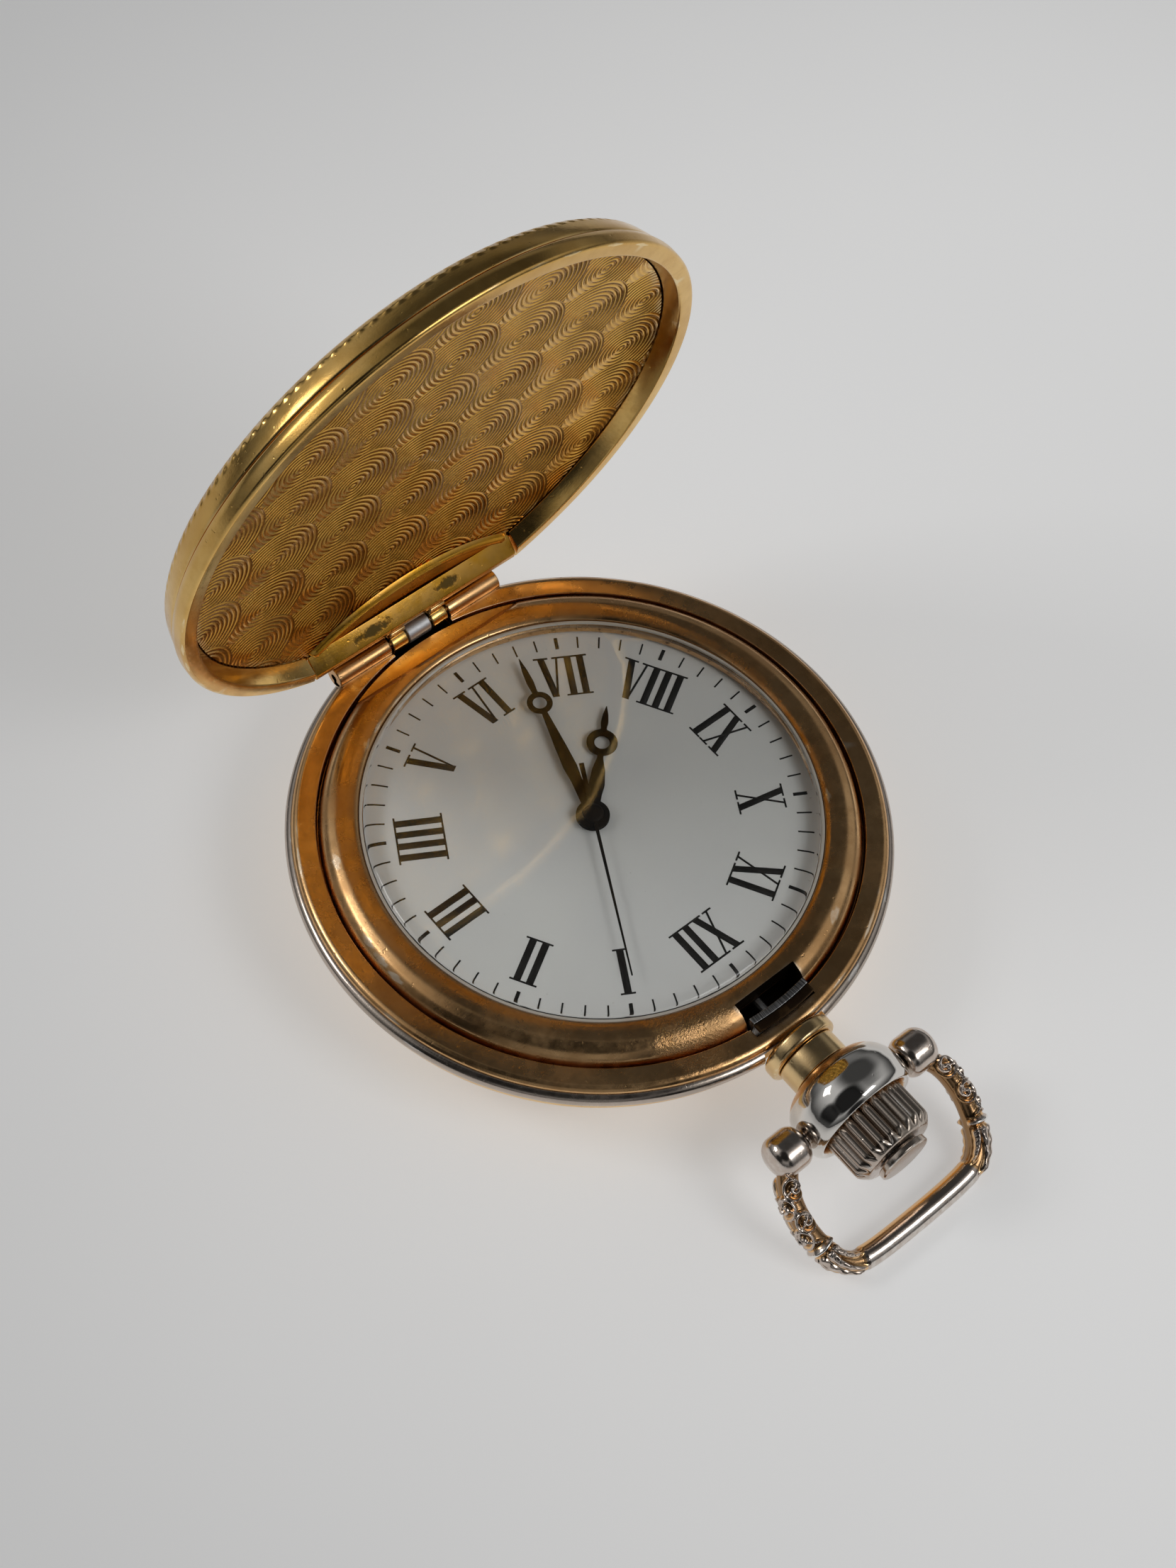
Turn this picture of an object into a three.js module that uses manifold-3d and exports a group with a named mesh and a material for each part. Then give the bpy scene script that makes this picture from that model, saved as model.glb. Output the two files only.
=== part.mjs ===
// Hunter-case pocket watch, lid open, lying on its back.
// Millimetres, +Z up. The origin is the centre of the flat on the case back, +Y points to the
// pendant at twelve o'clock, +X to three o'clock, and the lid hinge is at six o'clock.
import * as THREE from 'three';
import { mergeVertices } from 'three/addons/utils/BufferGeometryUtils.js';
import Module from 'manifold-3d';

const wasm = await Module();
wasm.setup();

// ---- driving dimensions ----
const RING_SEGMENTS = 36;
const SMALL_SEGMENTS = 12;
const GAP = 0.05;                 // clearance between pieces that rest on each other

const LEDGE_Z = 8.15;             // top of the case ledge that the lid closes on
const BACK_FLAT_R = 12;
const CASE_R = 23.4;              // widest point of the silver band
const CORE_IN_R = 18.35;
const SEAT_Z = 7.25;              // where the bezel foot rests
const BEZEL_OUT_R = 20.9;

const DIAL_R = 18.25;
const DIAL_TOP_Z = 7.45;
const DIAL_THICK = 0.4;
const CRYSTAL_R = 17.45;
const CRYSTAL_SEAT_Z = 8.3;

const LID_PLANE_Z = LEDGE_Z + 0.1;
const LID_OPEN_DEG = 81;
const HINGE_Y = -22;
const HINGE_Z = LEDGE_Z + 0.15;
const HINGE_HALF = 8;             // half length of the whole hinge
const LID_GAP_HALF = 2.85;        // half width of the notch that the lid knuckles turn in
const KNUCKLE_R = 0.9;
const PIN_R = 0.35;
const BLOCK_HALF = 9.9;           // half width of the block that carries the lid's knuckles

const AXIS_Z = LEDGE_Z - 1.65;    // height of the pendant and crown axis
const PIVOT_Y = 29.2;             // bow pivots
const BOW_REACH = 10.15;
const BOW_WIRE_R = 0.95;
// The bow rests with its far bar on the surface under the watch.
const BOW_REST_DEG = -Math.asin((AXIS_Z - BOW_WIRE_R - 0.02) / BOW_REACH) * 180 / Math.PI;
const BALL_X = 6.4;
const CROWN_R = 3.5;
const CROWN_FLUTES = 24;

const HOUR_ANGLE = 226.4;         // hand angles, clockwise from twelve
const MINUTE_ANGLE = 197.5;
const SECOND_ANGLE = 28.4;

// Going train: the seconds wheel turns on the centre, the third wheel stands beside it.
const THIRD_AT = polar(4.6, 200);
const STEP_AT = polar(3.5, 20);
const ROTOR_AT = polar(5.75, 20);
const MINUTE_WHEEL_AT = polar(2.9, 90);

// ---- helpers ----
function rad(deg) {
  return deg * Math.PI / 180;
}

function polar(r, deg) {
  return [r * Math.cos(rad(deg)), r * Math.sin(rad(deg))];
}

// A closed three.js geometry as a solid that can be cut and joined.
function solid(geometry) {
  const bare = geometry.index ? geometry.toNonIndexed() : geometry.clone();
  for (const name of Object.keys(bare.attributes)) {
    if (name !== 'position') bare.deleteAttribute(name);
  }
  const merged = mergeVertices(bare, 1e-4);
  const at = merged.attributes.position.array;
  const corners = [];
  let volume = 0;
  for (let i = 0; i < merged.index.count; i += 3) {
    const [a, b, c] = [0, 1, 2].map((k) => merged.index.getX(i + k));
    if (a === b || b === c || a === c) continue;
    corners.push(a, b, c);
    const [p, q, r] = [a, b, c].map((k) => new THREE.Vector3().fromArray(at, 3 * k));
    volume += p.dot(q.cross(r));
  }
  if (volume < 0) corners.reverse();
  return new wasm.Manifold(new wasm.Mesh({
    numProp: 3,
    vertProperties: new Float32Array(at),
    triVerts: new Uint32Array(corners),
  }));
}

// A body of revolution about Z from a closed profile of [radius, height].
function turned(profile, segments = RING_SEGMENTS) {
  const points = profile.map(([r, z]) => new THREE.Vector2(r, z));
  if (profile[0][0] > 0) points.push(points[0].clone());
  const geometry = new THREE.LatheGeometry(points, segments);
  geometry.rotateX(Math.PI / 2);
  geometry.scale(1, -1, 1);
  return solid(geometry);
}

// The same about the pendant axis, from [radius, y].
function turnedY(profile, segments = 24) {
  const points = profile.map(([r, y]) => new THREE.Vector2(r, y));
  if (profile[0][0] > 0) points.push(points[0].clone());
  const geometry = new THREE.LatheGeometry(points, segments);
  geometry.translate(0, 0, AXIS_Z);
  return solid(geometry);
}

function outline(points) {
  return new THREE.Shape(points.map(([x, y]) => new THREE.Vector2(x, y)));
}

function plate(shape, z0, z1, at = [0, 0], turn = 0) {
  const geometry = new THREE.ExtrudeGeometry(shape, { depth: z1 - z0, bevelEnabled: false, curveSegments: 12 });
  geometry.rotateZ(turn);
  geometry.translate(at[0], at[1], z0);
  return solid(geometry);
}

function box(x0, x1, y0, y1, z0, z1) {
  const geometry = new THREE.BoxGeometry(x1 - x0, y1 - y0, z1 - z0);
  geometry.translate((x0 + x1) / 2, (y0 + y1) / 2, (z0 + z1) / 2);
  return solid(geometry);
}

function rod(r, x0, x1, y, z, segments = SMALL_SEGMENTS) {
  const geometry = new THREE.CylinderGeometry(r, r, x1 - x0, segments);
  geometry.rotateZ(Math.PI / 2);
  geometry.translate((x0 + x1) / 2, y, z);
  return solid(geometry);
}

function post(r, z0, z1, at = [0, 0], segments = SMALL_SEGMENTS) {
  const geometry = new THREE.CylinderGeometry(r, r, z1 - z0, segments);
  geometry.rotateX(Math.PI / 2);
  geometry.translate(at[0], at[1], (z0 + z1) / 2);
  return solid(geometry);
}

// A side view of [y, z] points, as wide as x0 to x1.
function bar(points, x0, x1) {
  const geometry = new THREE.ExtrudeGeometry(outline(points), { depth: x1 - x0, bevelEnabled: false });
  geometry.applyMatrix4(new THREE.Matrix4().makeBasis(
    new THREE.Vector3(0, 1, 0), new THREE.Vector3(0, 0, 1), new THREE.Vector3(1, 0, 0)));
  geometry.translate(x0, 0, 0);
  return solid(geometry);
}

// A toothed disc with a tooth centred on the direction of toothDeg.
function gear(teeth, module, z0, z1, at, toothDeg) {
  const pitch = 360 / teeth;
  const pitchR = teeth * module / 2;
  const points = [];
  for (let i = 0; i < teeth; i += 1) {
    const middle = toothDeg + i * pitch;
    points.push(polar(pitchR - 1.3 * module, middle - pitch / 2));
    points.push(polar(pitchR + 0.7 * module, middle));
  }
  return plate(outline(points), z0, z1, at);
}

function joined(...solids) {
  return solids.reduce((whole, next) => whole.add(next));
}

function cut(whole, ...tools) {
  return tools.reduce((rest, tool) => rest.subtract(tool), whole);
}

const metal = (color, roughness) => ({ color, metalness: 1, roughness });
const finishes = {
  gold: metal(0xc9973f, 0.25),
  rose: metal(0xb5793f, 0.35),
  engraved: metal(0xc39340, 0.4),
  silver: metal(0xcfcac2, 0.18),
  steel: metal(0x9a9a9c, 0.35),
  brass: metal(0xb9964a, 0.4),
  copper: metal(0xa8552a, 0.45),
  hand: { color: 0x17100c, metalness: 0.6, roughness: 0.3 },
  dial: { color: 0xdcd8d0, metalness: 0, roughness: 0.45 },
  glass: { color: 0xffffff, metalness: 0, roughness: 0.02, transparent: true, opacity: 0.25 },
  plastic: { color: 0xe8e4da, metalness: 0, roughness: 0.5 },
  board: { color: 0x1f5a3a, metalness: 0, roughness: 0.5 },
  rubber: { color: 0x1c1c1e, metalness: 0, roughness: 0.8 },
};

function piece(name, body, finish) {
  const { vertProperties, triVerts, numProp } = body.getMesh();
  const geometry = new THREE.BufferGeometry();
  const positions = new Float32Array(vertProperties.length / numProp * 3);
  for (let i = 0; i < positions.length / 3; i += 1) {
    positions.set(vertProperties.subarray(i * numProp, i * numProp + 3), 3 * i);
  }
  geometry.setAttribute('position', new THREE.BufferAttribute(positions, 3));
  geometry.setIndex(new THREE.BufferAttribute(new Uint32Array(triVerts), 1));
  geometry.computeVertexNormals();
  const mesh = new THREE.Mesh(geometry, new THREE.MeshStandardMaterial(finishes[finish]));
  mesh.name = name;
  return mesh;
}

const watch = new THREE.Group();
const lid = new THREE.Group();
const bowGroup = new THREE.Group();

// A group that turns about a line along X holds its pieces drawn unturned in the part's frame.
function pivoted(group, y, z, deg) {
  group.position.set(0, y, z);
  group.rotation.x = rad(deg);
  for (const mesh of group.children) mesh.geometry.translate(0, -y, -z);
  watch.add(group);
}

// ---- case ----
// Room for the hinge: the knuckles sit in the ledge, and the lid's own turn in a wider notch.
const knuckleWeb = (grow) => box(
  -HINGE_HALF - grow, HINGE_HALF + grow, HINGE_Y, -21.1 + grow, LEDGE_Z - 0.75 - grow, LEDGE_Z - 0.05 + grow);
const hingeRoom = joined(
  rod(KNUCKLE_R + GAP, -HINGE_HALF - GAP, HINGE_HALF + GAP, HINGE_Y, HINGE_Z),
  knuckleWeb(GAP),
  rod(KNUCKLE_R + 0.25, -LID_GAP_HALF, LID_GAP_HALF, HINGE_Y, HINGE_Z),
  box(-LID_GAP_HALF, LID_GAP_HALF, HINGE_Y, -20.5, LEDGE_Z - 0.9, LEDGE_Z + 1),
  box(-HINGE_HALF - GAP, HINGE_HALF + GAP, -24, HINGE_Y, 7.585, LEDGE_Z + 1),
);

const COLLAR_R = 3;
const COLLAR_Y = 23;
const collarRoom = turnedY([[0, COLLAR_Y - GAP], [COLLAR_R + GAP, COLLAR_Y - GAP], [COLLAR_R + GAP, 27], [0, 27]]);
const tubeRoom = turnedY([[0, 17], [1.5, 17], [1.5, 24], [0, 24]]);

// The slot at twelve that the steel catch stands in.
const SLOT = { x0: -3.2, x1: 2.6, y0: 18.95, y1: 21.6 };
const catchRoom = box(SLOT.x0, SLOT.x1, SLOT.y0, SLOT.y1, 5.6, 12);

const middle = turned([
  [CORE_IN_R, 4.45], [21.5, 4.45], [21.5, 6.36], [22.05, 6.36], [22.05, 7.6], [22.85, 7.62], [22.8, 7.85],
  [22.6, 8.05], [22.35, LEDGE_Z], [BEZEL_OUT_R + 0.1, LEDGE_Z], [BEZEL_OUT_R + 0.1, SEAT_Z], [CORE_IN_R, SEAT_Z],
]);
watch.add(piece('case_middle', cut(middle, hingeRoom, tubeRoom, catchRoom), 'rose'));

const band = turned([
  [22.1, 6.35], [23.1, 6.35], [23.32, 6.6], [CASE_R, 6.95], [23.3, 7.3], [22.95, 7.57], [22.1, 7.57],
]);
watch.add(piece('case_band', cut(band, hingeRoom, tubeRoom, collarRoom), 'silver'));

const back = turned([
  [0, 0], [BACK_FLAT_R, 0], [15, 0.25], [18, 0.95], [20.3, 2.1], [21.9, 3.6], [22.8, 5.1], [23.15, 6.3],
  [21.65, 6.3], [21.65, 4.3], [21.25, 3.75], [19.9, 2.8], [17.8, 1.85], [14.8, 1.15], [BACK_FLAT_R, 0.9], [0, 0.9],
]);
watch.add(piece('case_back', cut(back, collarRoom, tubeRoom), 'gold'));

watch.add(piece('back_gasket', turned([[19.6, 3.95], [20.8, 3.95], [20.8, 4.35], [19.6, 4.35]]), 'rubber'));

// The bezel is flattened towards the hinge, where the block of the closed lid comes down.
const hingeFlat = bar([[-24, 8.05], [-19.2, 8.05], [-17.95, 9.6], [-24, 9.6]], -BLOCK_HALF - 0.4, BLOCK_HALF + 0.4);
const bezel = turned([
  [18.6, SEAT_Z + GAP], [BEZEL_OUT_R, SEAT_Z + GAP], [20.8, 7.9], [20.55, 8.4], [20.1, 8.85], [19.4, 9.15],
  [18.7, 9.2], [18.1, 9.1], [17.78, 8.95], [17.78, 8.25], [17.15, 8.25], [17.15, 7.6], [18.6, 7.6],
]);
watch.add(piece('bezel', cut(bezel, hingeFlat, catchRoom), 'rose'));

const crystal = turned([
  [0, 8.85], [9, 8.7], [14, 8.5], [CRYSTAL_R, CRYSTAL_SEAT_Z], [CRYSTAL_R, 8.95], [16.8, 9.2], [14, 9.4],
  [9, 9.62], [0, 9.78],
]);
watch.add(piece('crystal', crystal, 'glass'));
watch.add(piece('crystal_gasket', turned([[17.5, 8.3], [17.73, 8.3], [17.73, 8.9], [17.5, 8.9]]), 'plastic'));

// ---- hinge ----
const pinBore = rod(PIN_R + 0.07, -12, 12, HINGE_Y, HINGE_Z, 12);
function caseKnuckle(name, x0, x1) {
  const web = box(x0, x1, HINGE_Y, -21.1, LEDGE_Z - 0.75, LEDGE_Z - 0.05);
  watch.add(piece(name, cut(joined(rod(KNUCKLE_R, x0, x1, HINGE_Y, HINGE_Z), web), pinBore), 'gold'));
}
caseKnuckle('hinge_knuckle_left', -HINGE_HALF, -LID_GAP_HALF - GAP);
caseKnuckle('hinge_knuckle_right', LID_GAP_HALF + GAP, HINGE_HALF);
watch.add(piece('hinge_pin', rod(PIN_R, -HINGE_HALF, HINGE_HALF, HINGE_Y, HINGE_Z, 12), 'steel'));
watch.add(piece('lid_spring', cut(rod(0.85, -1.1, 1.1, HINGE_Y, HINGE_Z), pinBore), 'steel'));

// ---- lid, drawn closed ----
const lidZ = (profile) => profile.map(([r, h]) => [r, LID_PLANE_Z + h]);
const LINER_EDGE_R = 20.9;
const linerUnder = [[LINER_EDGE_R, 1.45], [19, 1.65], [14, 2], [8, 2.3], [0, 2.4]];
const linerUpper = [[0, 2.7], [8, 2.6], [14, 2.3], [19, 1.95], [LINER_EDGE_R, 1.75]];

const rim = turned(lidZ([
  [21.5, 0], [22.6, 0], [22.78, 0.2], [22.78, 0.95], [22.6, 1.45], [LINER_EDGE_R + 0.08, 1.45],
]));
const rimHingeCut = box(-BLOCK_HALF - 0.15, BLOCK_HALF + 0.15, -24, -18, LID_PLANE_Z - 1, LID_PLANE_Z + 1.6);
const catchGroove = cut(
  turned(lidZ([[21, 0.3], [22.1, 0.3], [22.1, 0.95], [21, 0.95]])),
  box(-30, 30, -30, 15, 0, 20), box(-30, -3.6, -30, 30, 0, 20), box(3, 30, -30, 30, 0, 20),
);
lid.add(piece('lid_rim', cut(rim, rimHingeCut, catchGroove), 'gold'));

const cover = turned(lidZ([
  [0, 4.3], [8, 4.15], [15, 3.75], [20.3, 3.1], [21.3, 2.4], [21.6, 1.5],
  [22.5, 1.5], [22.4, 2.1], [22.1, 3.05], [21.6, 3.55], [20.7, 3.85], [15, 4.5], [8, 4.88], [0, 5],
]));
lid.add(piece('lid_cover', cover, 'gold'));
lid.add(piece('lid_liner', turned(lidZ([...linerUpper, ...linerUnder].reverse())), 'engraved'));

// The plain crescent by the hinge: a thin layer under the liner, with the block that carries the
// lid's knuckles.
const layer = turned(lidZ([
  ...linerUnder.map(([r, h]) => [Math.min(r, 20.8), h - GAP]).reverse(),
  ...linerUnder.map(([r, h]) => [Math.min(r, 20.8), h - 0.3]),
]));
const crescent = layer.intersect(post(19.7, 8, 12, [0, -35.5], 96));
const block = bar([
  [-20.25, LID_PLANE_Z], [-19.6, LID_PLANE_Z], [-18.5, LID_PLANE_Z + 1.3], [-20.25, LID_PLANE_Z + 1.3],
], -BLOCK_HALF, BLOCK_HALF);
lid.add(piece('lid_hinge_block', joined(crescent, block), 'gold'));

function lidKnuckle(name, x0, x1) {
  const arm = box(x0, x1, HINGE_Y, -20.3, LEDGE_Z, LEDGE_Z + 0.7);
  lid.add(piece(name, cut(joined(rod(KNUCKLE_R, x0, x1, HINGE_Y, HINGE_Z), arm), pinBore), 'gold'));
}
lidKnuckle('lid_knuckle_left', -2.7, -1.25);
lidKnuckle('lid_knuckle_right', 1.25, 2.7);
pivoted(lid, HINGE_Y, HINGE_Z, LID_OPEN_DEG);

// ---- pendant ----
const collar = turnedY([
  [1.5, COLLAR_Y], [2.7, COLLAR_Y], [COLLAR_R, 23.25], [COLLAR_R, 24.1], [2.8, 24.3], [1.5, 24.3],
]);
watch.add(piece('pendant_collar', collar, 'gold'));
const tube = turnedY([[1, 21.7], [1.45, 21.7], [1.45, 24.35], [2.5, 24.35], [2.5, 26.2], [1, 26.2]]);
watch.add(piece('pendant_tube', tube, 'gold'));

const pivotBore = rod(0.75, -9, 9, PIVOT_Y, AXIS_Z);
const head = turnedY([
  [1.15, 26.25], [2.6, 26.25], [3.5, 26.6], [4.3, 27.3], [4.75, 28.3], [4.85, 29.3], [4.6, 30.4], [4.25, 30.8],
  [3.95, 30.7], [3.75, 30.1], [3.7, 28.1], [1.15, 28.1],
], 24);
watch.add(piece('pendant_head', cut(head, pivotBore), 'silver'));

// ---- bow, drawn straight out from its pivots ----
const bowSide = [[BALL_X, 0.4], [7.6, 2.1], [8.05, 4.5], [7.75, 7], [6.9, 9], [5.1, 9.95]];
const bowPoints = [...bowSide, [0, BOW_REACH], ...bowSide.map(([x, d]) => [-x, d]).reverse()];
const bowPath = new THREE.CatmullRomCurve3(bowPoints.map(([x, d]) => new THREE.Vector3(x, PIVOT_Y + d, AXIS_Z)));
const wireSection = outline([...Array(8).keys()].map((i) => polar(BOW_WIRE_R, 45 * i)));
const wire = solid(new THREE.ExtrudeGeometry(wireSection, {
  extrudePath: bowPath, steps: 36, bevelEnabled: false,
}));
function ballEnd(side) {
  const profile = [[0, 3.9], [0.6, 3.9], [0.6, 5], [1.35, 5], [1.65, 5.5], [1.65, 7.2], [1.2, 7.8], [0, 8]];
  const geometry = new THREE.LatheGeometry(profile.map(([r, h]) => new THREE.Vector2(r, h)), SMALL_SEGMENTS);
  geometry.rotateZ(-side * Math.PI / 2);
  geometry.translate(0, PIVOT_Y, AXIS_Z);
  return solid(geometry);
}
bowGroup.add(piece('bow', joined(wire, ballEnd(1), ballEnd(-1)), 'silver'));
pivoted(bowGroup, PIVOT_Y, AXIS_Z, BOW_REST_DEG);

// ---- crown, stem and lid release ----
const flutePoints = [];
for (let i = 0; i < CROWN_FLUTES; i += 1) {
  const at = i * 360 / CROWN_FLUTES;
  flutePoints.push(polar(CROWN_R - 0.35, at - 7.5), polar(CROWN_R, at - 3), polar(CROWN_R, at + 3));
}
const fluted = new THREE.ExtrudeGeometry(outline(flutePoints), { depth: 5.2, bevelEnabled: false });
fluted.rotateX(-Math.PI / 2);
fluted.translate(0, 29.2, AXIS_Z);
const crownEnvelope = turnedY([[0, 29.2], [3, 29.2], [CROWN_R, 29.6], [CROWN_R, 33.5], [2.9, 34.2], [0, 34.2]]);
const stemBore = turnedY([[0, 29], [0.45, 29], [0.45, 31], [0, 31]], 12);
watch.add(piece('crown', cut(solid(fluted).intersect(crownEnvelope), stemBore), 'silver'));
const crownCap = turnedY([[0, 34.25], [1.7, 34.25], [1.7, 34.45], [2.15, 34.45], [2.15, 34.9], [2, 35], [0, 35]]);
watch.add(piece('crown_cap', crownCap, 'silver'));

watch.add(piece('crown_stem', turnedY([[0, 9.5], [0.4, 9.5], [0.4, 30.8], [0, 30.8]], 12), 'steel'));
const plunger = turnedY([[0.46, 21.4], [0.9, 21.4], [0.9, 28.9], [0.46, 28.9]], 16);
watch.add(piece('release_plunger', plunger, 'brass'));

// The catch: a curved steel piece with a nose over the rim of the closed lid, slotted for the stem.
const catchBody = turned([[20.5, 5.8], [21.3, 5.8], [21.3, 8.6], [21.75, 8.6], [21.75, 8.95], [20.5, 8.95]], 96);
const catchPiece = cut(
  catchBody.intersect(box(-3, 2.4, 19, 23, 5, 10)),
  box(-0.6, 0.6, 19, 23, 5, AXIS_Z + 0.6),
);
watch.add(piece('latch_catch', catchPiece, 'steel'));

// ---- movement ----
const stemChannel = box(-0.8, 0.8, 5, 20, AXIS_Z - 0.8, 8);
const holder = turned([[12.6, 2.6], [18.2, 2.6], [18.2, 6.95], [12.6, 6.95]]);
watch.add(piece('movement_holder', cut(holder, stemChannel), 'plastic'));

const mainPlate = cut(post(12.4, 5.55, 6, [0, 0], RING_SEGMENTS), post(0.95, 5, 7), box(-0.8, 0.8, 8, 20, 5.6, 7));
watch.add(piece('main_plate', mainPlate, 'brass'));

const BOARD_EDGE_Y = -4.8;
const boardDisc = post(12.1, 4.6, 4.95, [0, 0], 32);
watch.add(piece('circuit_board', boardDisc.intersect(box(-13, 13, -13, BOARD_EDGE_Y, 4, 6)), 'board'));

const along20 = (x0, x1, halfLength, z0, z1) => {
  const geometry = new THREE.BoxGeometry(x1 - x0, 2 * halfLength, z1 - z0);
  geometry.translate((x0 + x1) / 2, 0, (z0 + z1) / 2);
  geometry.rotateZ(rad(20));
  return solid(geometry);
};
watch.add(piece('stator', cut(along20(4.4, 7.1, 3.4, 4.88, 5.22), post(1.25, 4, 6, ROTOR_AT)), 'steel'));
const coilGeometry = new THREE.CylinderGeometry(0.95, 0.95, 7.5, SMALL_SEGMENTS);
coilGeometry.translate(8.6, 0, 0);
coilGeometry.rotateZ(rad(20));
coilGeometry.translate(0, 0, 4.5);
watch.add(piece('coil', solid(coilGeometry), 'copper'));

const bridgeShape = outline([[-8.9, -2.1], [6.5, -2.1], [6.5, 4.2], [2.4, 5.6], [-8.9, 5.2]]);
const screwsAt = [[-8, 3.9], [4.6, -1.6], [1, 4.75]];
let bridge = plate(bridgeShape, 3.35, 3.8);
for (const at of [...screwsAt, [0, 0], THIRD_AT, STEP_AT, ROTOR_AT]) bridge = cut(bridge, post(0.5, 3, 4, at, 8));
watch.add(piece('train_bridge', bridge, 'brass'));
screwsAt.forEach((at, i) => {
  const screw = joined(post(0.8, 2.9, 3.3, at), post(0.38, 3.25, 5.5, at, 12));
  watch.add(piece(`bridge_screw_${i + 1}`, cut(screw, box(at[0] - 1, at[0] + 1, at[1] - 0.12, at[1] + 0.12, 2.8, 3.05)), 'steel'));
});

const BATTERY_AT = [-1, -7.3];
watch.add(piece('battery', joined(post(4.75, 2.1, 3.9, BATTERY_AT, 32), post(4.2, 3.8, 4.15, BATTERY_AT, 32)), 'steel'));
const clamp = cut(
  box(-7.2, 5.2, -8.2, -6.4, 1.75, 1.95), post(0.5, 1, 3, [-6.6, -7.3], 12), post(0.5, 1, 3, [4.6, -7.3], 12));
watch.add(piece('battery_clamp', clamp, 'steel'));

// Each arbor runs in a hole in the bridge; wheel and pinion are one piece with it.
function wheel(name, at, parts, arborR, z0, z1) {
  watch.add(piece(name, joined(post(arborR, z0, z1, at, 12), ...parts), 'brass'));
}
const SECONDS_MODULE = 0.125;
const THIRD_MODULE = 0.135;
const CENTRE_MODULE = 0.1275;
const halfPitch = (teeth) => 180 / teeth;

wheel('rotor', ROTOR_AT, [
  gear(6, SECONDS_MODULE, 4.45, 4.8, ROTOR_AT, 200),
  post(1, 4.85, 5.25, ROTOR_AT),
  post(0.3, 4.7, 4.95, ROTOR_AT, 12),
], 0.2, 3.45, 5.45);
wheel('step_wheel', STEP_AT, [
  gear(30, SECONDS_MODULE, 4.5, 4.7, STEP_AT, 20 + halfPitch(30)),
  gear(8, SECONDS_MODULE, 4, 4.35, STEP_AT, 200),
], 0.25, 3.45, 4.85);
wheel('third_wheel', THIRD_AT, [
  gear(60, THIRD_MODULE, 4.4, 4.6, THIRD_AT, 20 + halfPitch(60)),
  gear(8, CENTRE_MODULE, 4.8, 5.3, THIRD_AT, 20),
], 0.25, 3.45, 5.45);
wheel('seconds_wheel', [0, 0], [
  gear(48, SECONDS_MODULE, 4.08, 4.28, [0, 0], 20 + halfPitch(48)),
  gear(8, THIRD_MODULE, 4.33, 4.75, [0, 0], 200),
], 0.2, 3.45, 8.2);
const centreWheel = cut(
  joined(gear(64, CENTRE_MODULE, 4.95, 5.15, [0, 0], 200 + halfPitch(64)), post(0.8, 4.85, 5.95)),
  post(0.35, 4, 8, [0, 0], 12));
watch.add(piece('centre_wheel', centreWheel, 'brass'));

const CANNON_MODULE = 0.12;
const HOUR_MODULE = 0.1155;
const cannon = cut(
  joined(gear(12, CANNON_MODULE, 6.05, 6.45, [0, 0], 90), post(0.52, 6.3, 7.95)), post(0.3, 5, 9, [0, 0], 12));
watch.add(piece('cannon_pinion', cannon, 'steel'));
wheel('minute_wheel', MINUTE_WHEEL_AT, [
  gear(36, CANNON_MODULE, 6.1, 6.3, MINUTE_WHEEL_AT, 270 + halfPitch(36)),
  gear(10, HOUR_MODULE, 6.3, 6.85, MINUTE_WHEEL_AT, 270 + halfPitch(10)),
], 0.25, 6.05, 6.95);
const hourWheel = cut(
  joined(gear(40, HOUR_MODULE, 6.55, 6.75, [0, 0], 90), post(0.85, 6.5, 7.7)), post(0.6, 6, 9, [0, 0], 12));
watch.add(piece('hour_wheel', hourWheel, 'brass'));

const dial = cut(post(DIAL_R, DIAL_TOP_Z - DIAL_THICK, DIAL_TOP_Z, [0, 0], 96), post(1, 6, 9));
watch.add(piece('dial', dial, 'dial'));

// ---- hands, drawn towards twelve ----
// A tapered blade, a round eye and a fine point.
function eyeHand({ length, eyeAt, eyeR, holeR, wide, z0, z1, bore }) {
  const blade = outline([
    [-0.35, 0], [-wide / 2, eyeAt * 0.45], [-0.22, eyeAt - eyeR * 0.6],
    [0.22, eyeAt - eyeR * 0.6], [wide / 2, eyeAt * 0.45], [0.35, 0],
  ]);
  const point = outline([[-0.32, eyeAt + eyeR * 0.7], [-0.07, length], [0.07, length], [0.32, eyeAt + eyeR * 0.7]]);
  const body = joined(
    post(1.3, z0, z1, [0, 0], 16), plate(blade, z0, z1), plate(point, z0, z1), post(eyeR, z0, z1, [0, eyeAt], 16));
  return cut(body, post(holeR, z0 - 1, z1 + 1, [0, eyeAt], 12), post(bore, z0 - 1, z1 + 1, [0, 0], 12));
}

function addHand(name, body, clockwise) {
  const mesh = piece(name, body, 'hand');
  mesh.rotation.z = -rad(clockwise);
  watch.add(mesh);
}

addHand('hour_hand', eyeHand({
  length: 10.1, eyeAt: 6.7, eyeR: 1.22, holeR: 0.6, wide: 1.25, z0: 7.74, z1: 7.88, bore: 0.6,
}), HOUR_ANGLE);
addHand('minute_hand', eyeHand({
  length: 15.2, eyeAt: 10.8, eyeR: 1.02, holeR: 0.55, wide: 1.1, z0: 8, z1: 8.12, bore: 0.25,
}), MINUTE_ANGLE);
const needle = joined(
  plate(outline([[-0.2, -4.5], [-0.13, 0], [-0.06, 14], [0.06, 14], [0.13, 0], [0.2, -4.5]]), 8.25, 8.33),
  post(0.8, 8.25, 8.42, [0, 0], 20));
addHand('seconds_hand', needle, SECOND_ANGLE);

export default watch;
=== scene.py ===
"""The looks of the pocket watch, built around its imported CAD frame.

Lengths are in mm until they become mesh. XII is towards +Y, where the crown is, and the hinge is at VI.
"""

import math

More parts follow.
